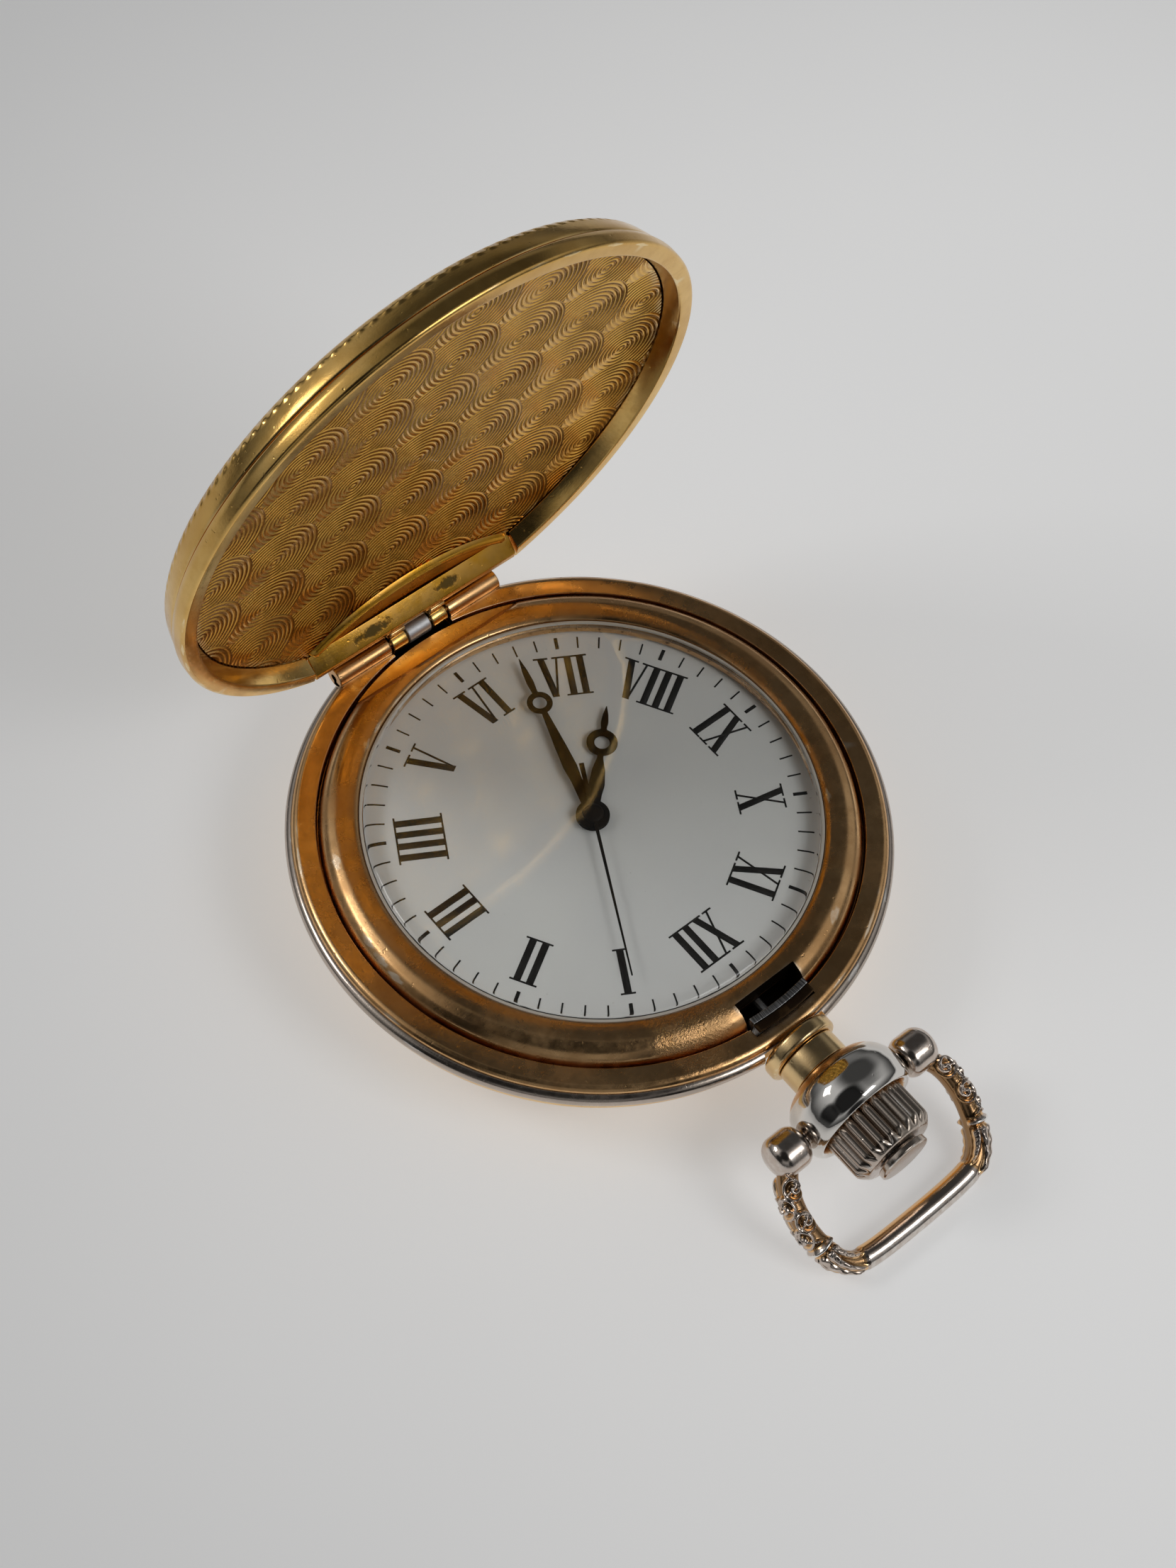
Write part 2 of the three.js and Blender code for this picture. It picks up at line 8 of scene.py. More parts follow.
import bmesh
import bpy
import numpy as np
from mathutils import Euler, Matrix, Vector

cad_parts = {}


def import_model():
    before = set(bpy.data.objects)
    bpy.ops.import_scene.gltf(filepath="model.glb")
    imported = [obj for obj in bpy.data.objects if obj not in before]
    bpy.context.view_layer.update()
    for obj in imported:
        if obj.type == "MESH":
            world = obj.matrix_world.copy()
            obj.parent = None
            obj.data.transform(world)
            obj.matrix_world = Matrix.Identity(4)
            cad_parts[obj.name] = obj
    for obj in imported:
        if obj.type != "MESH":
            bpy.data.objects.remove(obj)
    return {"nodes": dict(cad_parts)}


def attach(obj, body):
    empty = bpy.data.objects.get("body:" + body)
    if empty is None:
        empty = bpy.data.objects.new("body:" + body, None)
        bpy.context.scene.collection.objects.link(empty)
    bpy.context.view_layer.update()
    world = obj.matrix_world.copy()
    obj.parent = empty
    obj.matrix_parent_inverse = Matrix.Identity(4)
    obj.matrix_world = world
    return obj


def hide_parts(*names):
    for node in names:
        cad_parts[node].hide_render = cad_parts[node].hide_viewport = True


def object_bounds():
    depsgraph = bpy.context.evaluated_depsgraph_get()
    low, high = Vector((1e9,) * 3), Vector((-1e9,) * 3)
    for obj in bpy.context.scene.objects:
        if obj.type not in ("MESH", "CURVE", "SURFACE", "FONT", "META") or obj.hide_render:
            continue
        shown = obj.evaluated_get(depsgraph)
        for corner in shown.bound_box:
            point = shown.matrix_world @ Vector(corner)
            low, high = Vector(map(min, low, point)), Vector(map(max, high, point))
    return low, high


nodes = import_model()["nodes"]
cad_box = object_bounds()

MM = 0.001
LID_PLANE_Z = 8.25
HINGE_Y, HINGE_Z = -22.0, 8.3
LID_OPEN_DEG = 81.0
AXIS_Z = 6.5
PIVOT_Y = 29.2
BOW_REACH, BOW_WIRE_R = 10.15, 0.95
BOW_REST = -math.asin((AXIS_Z - BOW_WIRE_R - 0.02) / BOW_REACH)
DIAL_Z = 7.45
HOUR_ANGLE, MINUTE_ANGLE, SECOND_ANGLE = 226.4, 197.5, 28.4
ROUND = 288
SMALL_ROUND = 96


def turn_about(y, z, angle):
    """A turn about the line along X through (y, z)."""
    spot = Vector((0, y, z))
    return Matrix.Translation(spot) @ Matrix.Rotation(angle, 4, "X") @ Matrix.Translation(-spot)


def assign(thing, **settings):
    """The thing, with its attributes set."""
    for key, value in settings.items():
        setattr(thing, key, value)
    return thing


def in_metres(pose):
    """A pose worked out in mm, for meshes that are already in metres."""
    scaled = pose.copy()
    scaled.translation = pose.translation * MM
    return scaled


LID_POSE = turn_about(HINGE_Y, HINGE_Z, math.radians(LID_OPEN_DEG))
BOW_POSE = turn_about(PIVOT_Y, AXIS_Z, BOW_REST)


# ---------------- materials

YELLOW = (0.87, 0.52, 0.105)
YELLOW_DEEP = (0.62, 0.31, 0.04)
YELLOW_WORN = (0.97, 0.80, 0.48)
# Painted shade for the lid's floor near the hinge.
YELLOW_PAINTED_SHADE = (0.80, 0.37, 0.035)
LEMON = (0.86, 0.56, 0.19)
LEMON_DEEP = (0.64, 0.35, 0.08)
ROSE = (0.80, 0.49, 0.23)
ROSE_DEEP = (0.46, 0.24, 0.09)
ROSE_WORN = (0.92, 0.74, 0.54)
SILVER = (0.57, 0.48, 0.415)
SILVER_DEEP = (0.40, 0.34, 0.28)
SILVER_WORN = (0.86, 0.83, 0.79)
GRIME = (0.09, 0.045, 0.02)
# Painted shade for the guilloché's grooves.
PAINTED_GROOVE_SHADE = (0.34, 0.16, 0.035)
TARNISH_SPOT = (0.05, 0.045, 0.02)
ENGRAVED_GROUND = (0.30, 0.16, 0.05)
CAST_GOLD = (0.80, 0.50, 0.24)
CAST_GRIME = (0.12, 0.06, 0.03)
ETCHED_PLACE = (0.0062, 0.0186, 0.0088)


class Shader:
    """A node tree for a material or a world, built by short calls that return output sockets."""

    def __init__(self, name, world=None):
        self.owner = world or bpy.data.materials.new(name)
        self.owner.use_nodes = True
        self.tree = self.owner.node_tree
        self.tree.nodes.clear()
        self.end = self.put("OutputWorld" if world else "OutputMaterial")
        self.point = self.put("TexCoord").outputs["Generated" if world else "Object"]

    def feed(self, socket, value):
        """Links a socket to another, or sets it to a value."""
        if isinstance(value, bpy.types.NodeSocket):
            self.tree.links.new(value, socket)
        else:
            socket.default_value = value

    def put(self, kind, inputs=None, **settings):
        """A new node with its settings, and its inputs linked or set."""
        made = assign(self.tree.nodes.new("ShaderNode" + kind), **settings)
        for key, value in (inputs or {}).items():
            self.feed(made.inputs[key], value)
        return made

    def math(self, operation, *values):
        """One sum on numbers and sockets."""
        return self.put("Math", dict(enumerate(values)), operation=operation).outputs[0]

    def times(self, a, b):
        """a * b."""
        return self.math("MULTIPLY", a, b)

    def plus(self, a, b):
        """a + b."""
        return self.math("ADD", a, b)

    def minus(self, a, b):
        """a - b."""
        return self.math("SUBTRACT", a, b)

    def muladd(self, a, b, c):
        """a * b + c."""
        return self.math("MULTIPLY_ADD", a, b, c)

    def reach(self, a, b):
        """The length of (a, b)."""
        return self.math("SQRT", self.plus(self.times(a, a), self.times(b, b)))

    def parts(self, point):
        """A point's x, y and z."""
        return self.put("SeparateXYZ", {"Vector": point}).outputs

    def vector(self, operation, *values):
        """One number worked out from vectors."""
        return self.put("VectorMath", dict(enumerate(values)), operation=operation).outputs["Value"]

    def away(self, spot):
        """The distance from a spot, in metres."""
        return self.vector("DISTANCE", self.point, spot)

    def mapped(self, point, kind="POINT", **inputs):
        """A point moved, turned and stretched."""
        return self.put("Mapping", {"Vector": point, **inputs}, vector_type=kind).outputs[0]

    def wave(self, angle):
        """A sine wave between 0 and 1."""
        return self.muladd(self.math("SINE", angle), 0.5, 0.5)

    def noise(self, size, detail=3.0, roughness=0.55, point=None):
        """Smooth noise, about 0.3 to 0.7, with features of a size in mm."""
        inputs = {
            "Vector": point or self.point,
            "Scale": 1 / (size * MM),
            "Detail": detail,
            "Roughness": roughness,
        }
        return self.put("TexNoise", inputs).outputs["Fac"]

    def step(self, value, low, high, out_low=0.0, out_high=1.0):
        """A smooth step from out_low to out_high as value goes from low to high."""
        inputs = {0: value, 1: low, 2: high, 3: out_low, 4: out_high}
        return self.put("MapRange", inputs, interpolation_type="SMOOTHSTEP").outputs[0]

    def mix(self, share, a, b):
        """Colour a at share 0 and b at share 1."""
        made = self.put("Mix", data_type="RGBA")
        for index, value in ((0, share), (6, a), (7, b)):
            self.feed(made.inputs[index], (*value, 1) if isinstance(value, tuple) else value)
        return made.outputs[2]

    def edges(self, low, high):
        """1 where the surface is more pointed than high, or more hollow where high is below low."""
        return self.step(self.put("NewGeometry").outputs["Pointiness"], low, high)

    def bump(self, height, depth, before=None):
        """A bump of the given depth in mm where height goes from 0 to 1."""
        inputs = {"Height": height, "Distance": depth * MM, "Strength": 1.0}
        if before:
            inputs["Normal"] = before
        return self.put("Bump", inputs).outputs["Normal"]

    def finish(self, colour, roughness, normal=None, metallic=1.0, **sockets):
        """The finished material, from its colour, roughness, normal and any other sockets."""
        if isinstance(colour, tuple):
            colour = (*colour, 1)
        inputs = {"Base Color": colour, "Roughness": roughness, "Metallic": metallic, **sockets}
        if normal:
            inputs["Normal"] = normal
        self.feed(self.end.inputs["Surface"], self.put("BsdfPrincipled", inputs).outputs[0])
        return self.owner


def lid_point(shader):
    """Points in the closed lid's own frame, in metres."""
    closed = in_metres(LID_POSE.inverted())
    return shader.mapped(shader.point, Location=closed.translation, Rotation=closed.to_euler())


def worn_metal(
    name, main, deep, worn, roughness=(0.12, 0.3),
    tarnish=0.3, pits=0.012, grain=0.004, wear=0.7, drift=0.6, etched=False,
):
    """Plated metal: drifting colour, smudges, fine scratches, pits, worn edges and tarnish in hollows.

    Returns the shader with its colour, roughness and normal, for more detail on top.
    """
    s = Shader(name)
    drifting = s.step(s.noise(9.0, 2.0), 0.35, 0.65)
    mottle = s.step(s.noise(1.3, 4.0, 0.65), 0.4, 0.68)
    colour = s.mix(s.times(drifting, drift), main, deep)
    colour = s.mix(s.times(mottle, 0.35), colour, deep)
    rubbed = s.times(s.edges(0.51, 0.58), s.step(s.noise(2.2), 0.3, 0.6))
    colour = s.mix(s.times(rubbed, wear), colour, worn)
    hollow = s.times(s.edges(0.49, 0.42), s.step(s.noise(1.6, 4.0), 0.4, 0.6))
    patches = s.step(s.noise(3.1, 5.0, 0.7), 0.66, 0.78)
    dirt = s.times(s.math("MAXIMUM", hollow, patches), tarnish)
    colour = s.mix(dirt, colour, GRIME)
    smudge = s.step(s.noise(4.5, 5.0, 0.6), 0.35, 0.7, *roughness)
    fine = s.noise(0.35, 2.0)
    rough = s.muladd(fine, 0.12, smudge)
    rough = s.muladd(dirt, 0.35, s.minus(rough, 0.05))
    brushed = s.mapped(s.point, Scale=(1.0, 9.0, 3.0), Rotation=(0.3, 0.2, 0.9))
    streaks = s.noise(1.1, 6.0, 0.7, brushed)
    normal = s.bump(streaks, grain)
    normal = s.bump(s.noise(0.16, 1.0), grain * 0.6, normal)
    pit = s.step(s.noise(0.42, 2.0), 0.66, 0.8, 1.0, 0.0)
    normal = s.bump(pit, pits, normal)
    if etched:
        away = s.muladd(s.noise(1.5), 0.004, s.away(ETCHED_PLACE))
        near = s.step(away, 0.0062, 0.004)
        grain_height = s.times(s.noise(0.2, 3.0, 0.7), near)
        normal = s.bump(grain_height, 0.06, normal)
    return s, colour, rough, normal


def plain_metal(*args, **options):
    """Worn metal with nothing more on it."""
    s, colour, rough, normal = worn_metal(*args, **options)
    return s.finish(colour, rough, normal)


pale_gold = plain_metal(
    "pale_gold", (0.80, 0.58, 0.30), (0.58, 0.38, 0.17), (0.92, 0.80, 0.58), tarnish=0.5
)
# Painted shade: near-black put in the hinge's gap, the catch's slot and on the catch's lip.
painted_shade_black = plain_metal("painted_shade_black", (0.035, 0.02, 0.012), (0.01, 0.008, 0.006), (0.12, 0.07, 0.03), (0.5, 0.7))
gold = plain_metal("gold", LEMON, LEMON_DEEP, YELLOW_WORN, (0.1, 0.26))
rose_gold = plain_metal(
    "rose_gold", ROSE, ROSE_DEEP, ROSE_WORN, (0.16, 0.36), tarnish=0.8, wear=1.0, etched=True
)
silver = plain_metal("silver", SILVER, SILVER_DEEP, SILVER_WORN, (0.12, 0.28), tarnish=0.35)
steel = plain_metal(
    "steel", (0.56, 0.56, 0.55), (0.42, 0.41, 0.40), (0.8, 0.8, 0.8), (0.25, 0.42), tarnish=0.2
)
brass = plain_metal("brass", (0.80, 0.58, 0.26), (0.62, 0.42, 0.16), (0.92, 0.8, 0.5), (0.2, 0.35))


RING_PITCH = 0.4
ROSETTE_REACH = 3.9
ROSETTE_ACROSS, ROSETTE_ALONG = Vector((5.95, 1.9)), Vector((0.75, -5.65))
ROSETTE_START = Vector((-12.5, 8.1))


def guilloche():
    """The lid's floor: a leaning lattice of engraved rosettes, each a nest of fine rings.

    Like fish scales, each rosette covers part of its neighbours on two sides. The tangent follows
    the rings, so light streaks across them.
    """
    s, colour, rough, normal = worn_metal(
        "guilloche", YELLOW, YELLOW_DEEP, YELLOW_WORN, (0.18, 0.3), tarnish=0.2, pits=0.003, drift=0.3
    )
    across, along = ROSETTE_ACROSS, ROSETTE_ALONG
    area = across.x * along.y - across.y * along.x
    place = s.parts(lid_point(s))
    x = s.minus(place["X"], ROSETTE_START.x * MM)
    y = s.minus(place["Y"], ROSETTE_START.y * MM)

    def share(a, b):
        """A sum of x and y that counts lattice cells."""
        return s.plus(s.times(x, a / area / MM), s.times(y, b / area / MM))

    def leftover(value):
        """The distance past the nearest whole number, -0.5 to 0.5."""
        return s.minus(value, s.math("ROUND", value))

    def from_centre(u, v):
        """(x, y, distance) in mm from a rosette's centre, for a place in lattice cells."""
        dx = s.plus(s.times(u, across.x), s.times(v, along.x))
        dy = s.plus(s.times(u, across.y), s.times(v, along.y))
        return dx, dy, s.reach(dx, dy)

    u = leftover(share(along.y, -along.x))
    v = leftover(share(-across.y, across.x))
    side = s.math("LESS_THAN", from_centre(s.minus(u, 1.0), v)[2], ROSETTE_REACH)
    u = s.minus(u, side)
    below = s.math("LESS_THAN", from_centre(u, s.minus(v, 1.0))[2], ROSETTE_REACH)
    v = s.minus(v, s.times(below, s.minus(1.0, side)))
    dx, dy, reach = from_centre(u, v)
    wobble = s.times(s.noise(1.4, 2.0), 0.05)
    phase = s.times(s.plus(reach, wobble), 2 * math.pi / RING_PITCH)
    wave = s.wave(phase)
    worn_away = s.step(s.noise(5.0, 2.0), 0.3, 0.55, 0.45, 1.0)
    ridge = s.times(s.math("POWER", wave, 0.7), worn_away)
    lean_side = s.math("DIVIDE", s.times(dx, -1.0), s.plus(reach, 0.2))
    # One side of each rosette is cut deeper and takes more painted shade in its grooves.
    depth_and_shade_side = s.step(lean_side, -0.8, 0.7, 0.45, 1.0)
    normal = s.bump(s.times(ridge, depth_and_shade_side), 0.14, normal)
    swell = s.minus(1.0, s.times(s.times(reach, reach), 0.085))
    normal = s.bump(swell, 0.012, normal)
    # Painted shade: darker grooves, more so on one side of each rosette, standing in for glints.
    painted_shade_in_grooves = s.times(s.minus(1.0, wave), s.times(depth_and_shade_side, 0.75))
    # Painted shade: the floor is coloured deeper orange towards the hinge.
    painted_shade_by_hinge = s.step(place["Y"], 0.006, -0.018, 0.0, 0.55)
    colour = s.mix(painted_shade_by_hinge, colour, YELLOW_PAINTED_SHADE)
    colour = s.mix(painted_shade_in_grooves, colour, PAINTED_GROOVE_SHADE)
    lean = math.radians(LID_OPEN_DEG)
    inputs = {
        "X": s.times(dy, -1.0),
        "Y": s.times(dx, math.cos(lean)),
        "Z": s.times(dx, math.sin(lean)),
    }
    along_ring = s.put("CombineXYZ", inputs).outputs[0]
    turned = s.put("VectorTransform", {0: along_ring}, convert_from="OBJECT", convert_to="WORLD")
    return s.finish(colour, rough, normal, Anisotropic=0.25, Tangent=turned.outputs[0])


def tarnished_plate():
    """The plain crescent by the hinge: satin gold with two dark tarnish patches."""
    s, colour, rough, normal = worn_metal(
        "tarnished_plate", (0.74, 0.38, 0.04), (0.58, 0.27, 0.02), YELLOW_WORN, (0.22, 0.34),
        tarnish=0.15, wear=0.12,
    )
    place = lid_point(s)
    ragged = s.times(s.noise(0.7, 6.0, 0.75), 2.4)
    dirt = None
    for x, y, length in ((-3.4, -19.0, 1.5), (4.0, -19.1, 2.3)):
        scale = (length * MM, 0.36 * MM, 1.0)
        away = s.mapped(place, "TEXTURE", Location=(x * MM, y * MM, 0.0), Scale=scale)
        reach = s.vector("LENGTH", away)
        spot = s.step(s.plus(reach, ragged), 2.05, 1.65)
        dirt = spot if dirt is None else s.math("MAXIMUM", dirt, spot)
    colour = s.mix(s.times(dirt, 0.85), colour, TARNISH_SPOT)
    rough = s.muladd(dirt, 0.3, rough)
    normal = s.bump(s.minus(1.0, dirt), 0.02, normal)
    return s.finish(colour, rough, normal)


def polar(s, place):
    """(radius in mm, angle in radians) about the Z axis."""
    x, y, _ = s.parts(place)
    radius = s.math("DIVIDE", s.reach(x, y), MM)
    return radius, s.math("ARCTAN2", y, x)


WREATH_IN, WREATH_OUT, WREATH_MIDDLE = 15.9, 20.1, 18.0
WREATH_TURNS, WREATH_LEAVES = 18.0, 72.0
RAYS, EDGE_BEADS = 180.0, 130.0


def engraved(name, in_lid):
    """A polished shell with an engraved wreath near its edge and fine sun rays within.

    Radii are in mm. The rays stop short of a plain shield in the middle.
    """
    s, colour, rough, normal = worn_metal(name, LEMON, LEMON_DEEP, YELLOW_WORN, (0.1, 0.24))
    radius, angle = polar(s, lid_point(s) if in_lid else s.point)
    band = s.times(
        s.step(radius, WREATH_IN, WREATH_IN + 0.3), s.step(radius, WREATH_OUT, WREATH_OUT - 0.3)
    )
    middle = s.minus(radius, WREATH_MIDDLE)
    swing = s.math("SINE", s.times(angle, WREATH_TURNS))
    stem_away = s.math("ABSOLUTE", s.minus(middle, s.times(swing, 0.75)))
    stem = s.step(stem_away, 0.3, 0.12)
    leaf_wave = s.math("SINE", s.muladd(angle, WREATH_LEAVES, s.times(middle, 3.2)))
    leaf = s.times(s.step(leaf_wave, -0.2, 0.6), s.step(stem_away, 1.5, 0.9))
    pattern = s.times(s.math("MAXIMUM", stem, leaf), band)
    lines = s.step(s.math("ABSOLUTE", s.minus(radius, 15.6)), 0.14, 0.05)
    rays = s.wave(s.times(angle, RAYS))
    rays = s.times(rays, s.step(radius, 15.3, 15.0))
    rays = s.times(rays, s.step(radius, 5.2, 5.6))
    cut = s.math("MAXIMUM", s.math("MAXIMUM", pattern, lines), s.times(rays, 0.35))
    edge_band = s.times(s.step(radius, 20.9, 21.1), s.step(radius, 22.2, 22.0))
    beads = s.times(s.wave(s.times(angle, EDGE_BEADS)), edge_band)
    cut = s.math("MAXIMUM", cut, beads)
    normal = s.bump(cut, 0.12, normal)
    ground = s.times(band, s.minus(1.0, pattern))
    colour = s.mix(s.times(ground, 0.55), colour, ENGRAVED_GROUND)
    rough = s.muladd(ground, 0.25, rough)
    return s.finish(colour, rough, normal)


def two_tone():
    """Cast bow: silver on the high parts of the relief and gold in its hollows."""
    s, _, rough, normal = worn_metal("two_tone", SILVER, SILVER_DEEP, SILVER_WORN, (0.1, 0.22))
    height = s.put("Attribute", attribute_name="relief").outputs["Fac"]
    noisy = s.muladd(s.noise(0.5, 4.0), 0.3, s.minus(height, 0.15))
    colour = s.mix(s.step(noisy, 0.25, 0.6), CAST_GOLD, SILVER)
    colour = s.mix(s.step(noisy, 0.9, 1.15), colour, SILVER_WORN)
    dirt = s.times(s.step(noisy, 0.22, 0.05), 0.7)
    colour = s.mix(dirt, colour, CAST_GRIME)
    return s.finish(colour, rough, normal)


def striated_steel():
    """The catch: grey steel with vertical file marks."""
    s, colour, rough, normal = worn_metal(
        "striated_steel", (0.50, 0.50, 0.50), (0.33, 0.33, 0.33), (0.85, 0.85, 0.85), (0.3, 0.45)
    )
    _, angle = polar(s, s.point)
    around = s.put("CombineXYZ", {"X": s.times(angle, 20.9 * MM)}).outputs[0]
    marks = s.noise(0.13, 2.0, 0.6, around)
    colour = s.mix(s.step(marks, 0.45, 0.62), (0.16, 0.16, 0.16), colour)
    return s.finish(colour, rough, s.bump(marks, 0.03, normal))


def dial_finish():
    """Satin off-white lacquer with a few specks of dust."""
    s = Shader("dial_finish")
    drift = s.step(s.noise(12.0, 2.0), 0.35, 0.65)
    colour = s.mix(drift, (0.78, 0.78, 0.76), (0.74, 0.74, 0.73))
    specks = s.step(s.noise(0.22, 1.0), 0.77, 0.8)
    colour = s.mix(s.times(specks, 0.5), colour, (0.3, 0.27, 0.24))
    rough = s.step(s.noise(3.0), 0.3, 0.7, 0.38, 0.48)
    normal = s.bump(s.noise(0.12, 2.0), 0.0015)
    return s.finish(colour, rough, normal, 0.0)


def lacquer(name, colour, deep, roughness, orange_peel=0.002, gloss=0.5):
    """Glossy paint or print with slight unevenness."""
    s = Shader(name)
    tint = s.mix(s.step(s.noise(2.5), 0.35, 0.65), colour, deep)
    rough = s.step(s.noise(1.5, 4.0), 0.3, 0.7, *roughness)
    normal = s.bump(s.noise(0.25, 2.0), orange_peel)
    return s.finish(tint, rough, normal, 0.0, **{"Specular IOR Level": gloss})


def polished_glass():
    """Mineral glass with a few hair scratches."""
    s = Shader("glass")
    thin = s.mapped(s.point, Scale=(1.0, 14.0, 1.0), Rotation=(0.0, 0.0, 0.6))
    hair = s.noise(2.0, 3.0, 0.6, thin)
    rough = s.step(hair, 0.4, 0.75, 0.0, 0.015)
    sockets = {"Transmission Weight": 1.0, "IOR": 1.5}
    return s.finish((0.97, 0.98, 0.97), rough, s.bump(hair, 0.0008), 0.0, **sockets)


def board_finish():
    """Green circuit board with etched tracks."""
    s = Shader("board_finish")
    inputs = {"Vector": s.point, "Scale": 900.0}
    tracks = s.put("TexVoronoi", inputs, feature="DISTANCE_TO_EDGE").outputs["Distance"]
    line = s.step(tracks, 0.1, 0.05)
    colour = s.mix(line, (0.02, 0.16, 0.06), (0.05, 0.3, 0.12))
    return s.finish(colour, 0.35, s.bump(line, 0.02), 0.0)


def coil_finish():
    """Enamelled copper wire, wound in close turns."""
    s, colour, rough, normal = worn_metal(
        "coil_finish", (0.8, 0.36, 0.2), (0.6, 0.24, 0.12), (0.9, 0.6, 0.4)
    )
    turns = s.wave(s.times(s.parts(s.point)["X"], 2 * math.pi / (0.12 * MM)))
    normal = s.bump(turns, 0.04, normal)
    return s.finish(colour, rough, normal)


lid_floor = guilloche()
crescent_plate = tarnished_plate()
lid_outside = engraved("lid_outside", True)
back_outside = engraved("back_outside", False)
bow_metal = two_tone()
catch_steel = striated_steel()
dial_white = dial_finish()
hand_black = lacquer(
    "hand_black", (0.005, 0.004, 0.003), (0.014, 0.009, 0.005), (0.26, 0.38), gloss=0.05
)
print_black = lacquer(
    "print_black", (0.01, 0.009, 0.008), (0.018, 0.016, 0.014), (0.45, 0.6), gloss=0.1
)
glass = polished_glass()
ivory_plastic = lacquer("ivory_plastic", (0.72, 0.68, 0.60), (0.66, 0.60, 0.52), (0.3, 0.45), 0.004)
rubber = lacquer("rubber", (0.025, 0.025, 0.025), (0.04, 0.04, 0.04), (0.6, 0.8), 0.01)
board = board_finish()
coil_wire = coil_finish()
satin_steel = plain_metal(
    "satin_steel", (0.74, 0.74, 0.74), (0.6, 0.6, 0.61), (0.9, 0.9, 0.9), (0.4, 0.55), tarnish=0.1
)

SLOT_FINISH = {
    "gold_plate": gold,
    "rose_gold_plate": rose_gold,
    "engraved_gold": lid_floor,
    "silver_plate": silver,
    "steel": steel,
    "brass": brass,
    "copper": coil_wire,
    "hand_black": hand_black,
    "dial_white": dial_white,
    "crystal": glass,
    "white_plastic": ivory_plastic,
    "board": board,
    "rubber": rubber,
}
for node in nodes.values():
    for held in node.material_slots:
        held.material = SLOT_FINISH[held.material.name]


# ---------------- mesh helpers


def link(name, data):
    """A new object in the scene, from its data."""
    made = bpy.data.objects.new(name, data)
    bpy.context.scene.collection.objects.link(made)
    return made


def smooth(mesh, crease):
    """Smooth shading, with edges over crease degrees kept sharp."""
    mesh.polygons.foreach_set("use_smooth", [True] * len(mesh.polygons))
    mesh.set_sharp_from_angle(angle=math.radians(crease))


def baked(piece):
    """The mesh of a curve, or of a piece with its modifiers applied."""
    bpy.context.view_layer.update()
    return bpy.data.meshes.new_from_object(piece.evaluated_get(bpy.context.evaluated_depsgraph_get()))


def add_mesh(name, points, faces, finish, crease=32.0):
    """A smooth-shaded piece from points in mm."""
    mesh = bpy.data.meshes.new(name)
    mesh.from_pydata((np.asarray(points, float) * MM).tolist(), [], faces)
    mesh.validate()
    mesh.materials.append(finish)
    smooth(mesh, crease)
    return link(name, mesh)


def settle(piece, body, slot, *replaced):
    """The piece rides on a body and stands for CAD nodes, which are hidden; slot is not used."""
    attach(piece, body)
    if replaced:
        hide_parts(*replaced)
    return piece


def rounded(profile, radius):
    """A closed profile with each corner turned into a small arc."""
    arc = 4
    points = [Vector(p) for p in profile]
    out = []
    for i, corner in enumerate(points):
        before = points[i - 1] - corner
        after = points[(i + 1) % len(points)] - corner
        reach = min(radius, before.length * 0.45, after.length * 0.45)
        start = corner + before.normalized() * reach
        stop = corner + after.normalized() * reach
        if corner.x < 1e-6:
            out.append(corner)
            continue
        for k in range(arc + 1):
            t = k / arc
            out.append(start * (1 - t) ** 2 + corner * (2 * t * (1 - t)) + stop * t**2)
    return [(max(p.x, 0.0), p.y) for p in out]


def section(x, y):
    """A rectangular profile between two limits on each axis."""
    return [(x[0], y[0]), (x[1], y[0]), (x[1], y[1]), (x[0], y[1])]


def refined(profile, longest):
    """The same closed profile with its long edges split, for even shading."""
    out = []
    for i, (x, y) in enumerate(profile):
        nx, ny = profile[(i + 1) % len(profile)]
        count = max(1, math.ceil(math.hypot(nx - x, ny - y) / longest))
        out += [(x + (nx - x) * k / count, y + (ny - y) * k / count) for k in range(count)]
    return out


def lathe(
    name, profile, finish, steps=ROUND, axis="Z", centre=(0, 0, 0), corner=0.08,
    longest=1.2, wave=None, crease=32.0,
):
    """A closed profile of (radius, height) turned about an axis through centre.

    wave may change the radius with the height and the angle.
    """
    ring = refined(rounded(profile, corner) if corner else profile, longest)
    at = np.asarray(ring)
    angles = np.arange(steps) * 2 * math.pi / steps
    radius = np.repeat(at[None, :, 0], steps, 0)
    height = np.repeat(at[None, :, 1], steps, 0)
    if wave:
        radius = wave(radius, height, angles[:, None])
    across = radius * np.cos(angles)[:, None]
    away = radius * np.sin(angles)[:, None]
    order = {"Z": (across, away, height), "Y": (away, height, across), "X": (height, across, away)}
    points = np.stack(order[axis], -1).reshape(-1, 3) + np.asarray(centre)
    count = len(ring)
    faces = []
    for j in range(steps):
        k = (j + 1) % steps
        for i in range(count):
            n = (i + 1) % count
            if at[i, 0] < 1e-6 and at[n, 0] < 1e-6:
                continue
            faces.append((j * count + i, k * count + i, k * count + n, j * count + n))
    return weld(add_mesh(name, points, faces, finish, crease))


def weld(piece, distance=1e-7):
    """Joins points that lie together and turns all faces outward."""
    made = bmesh.new()
    made.from_mesh(piece.data)
    bmesh.ops.remove_doubles(made, verts=made.verts, dist=distance)
    bmesh.ops.recalc_face_normals(made, faces=made.faces)
    made.to_mesh(piece.data)
    made.free()
    return piece


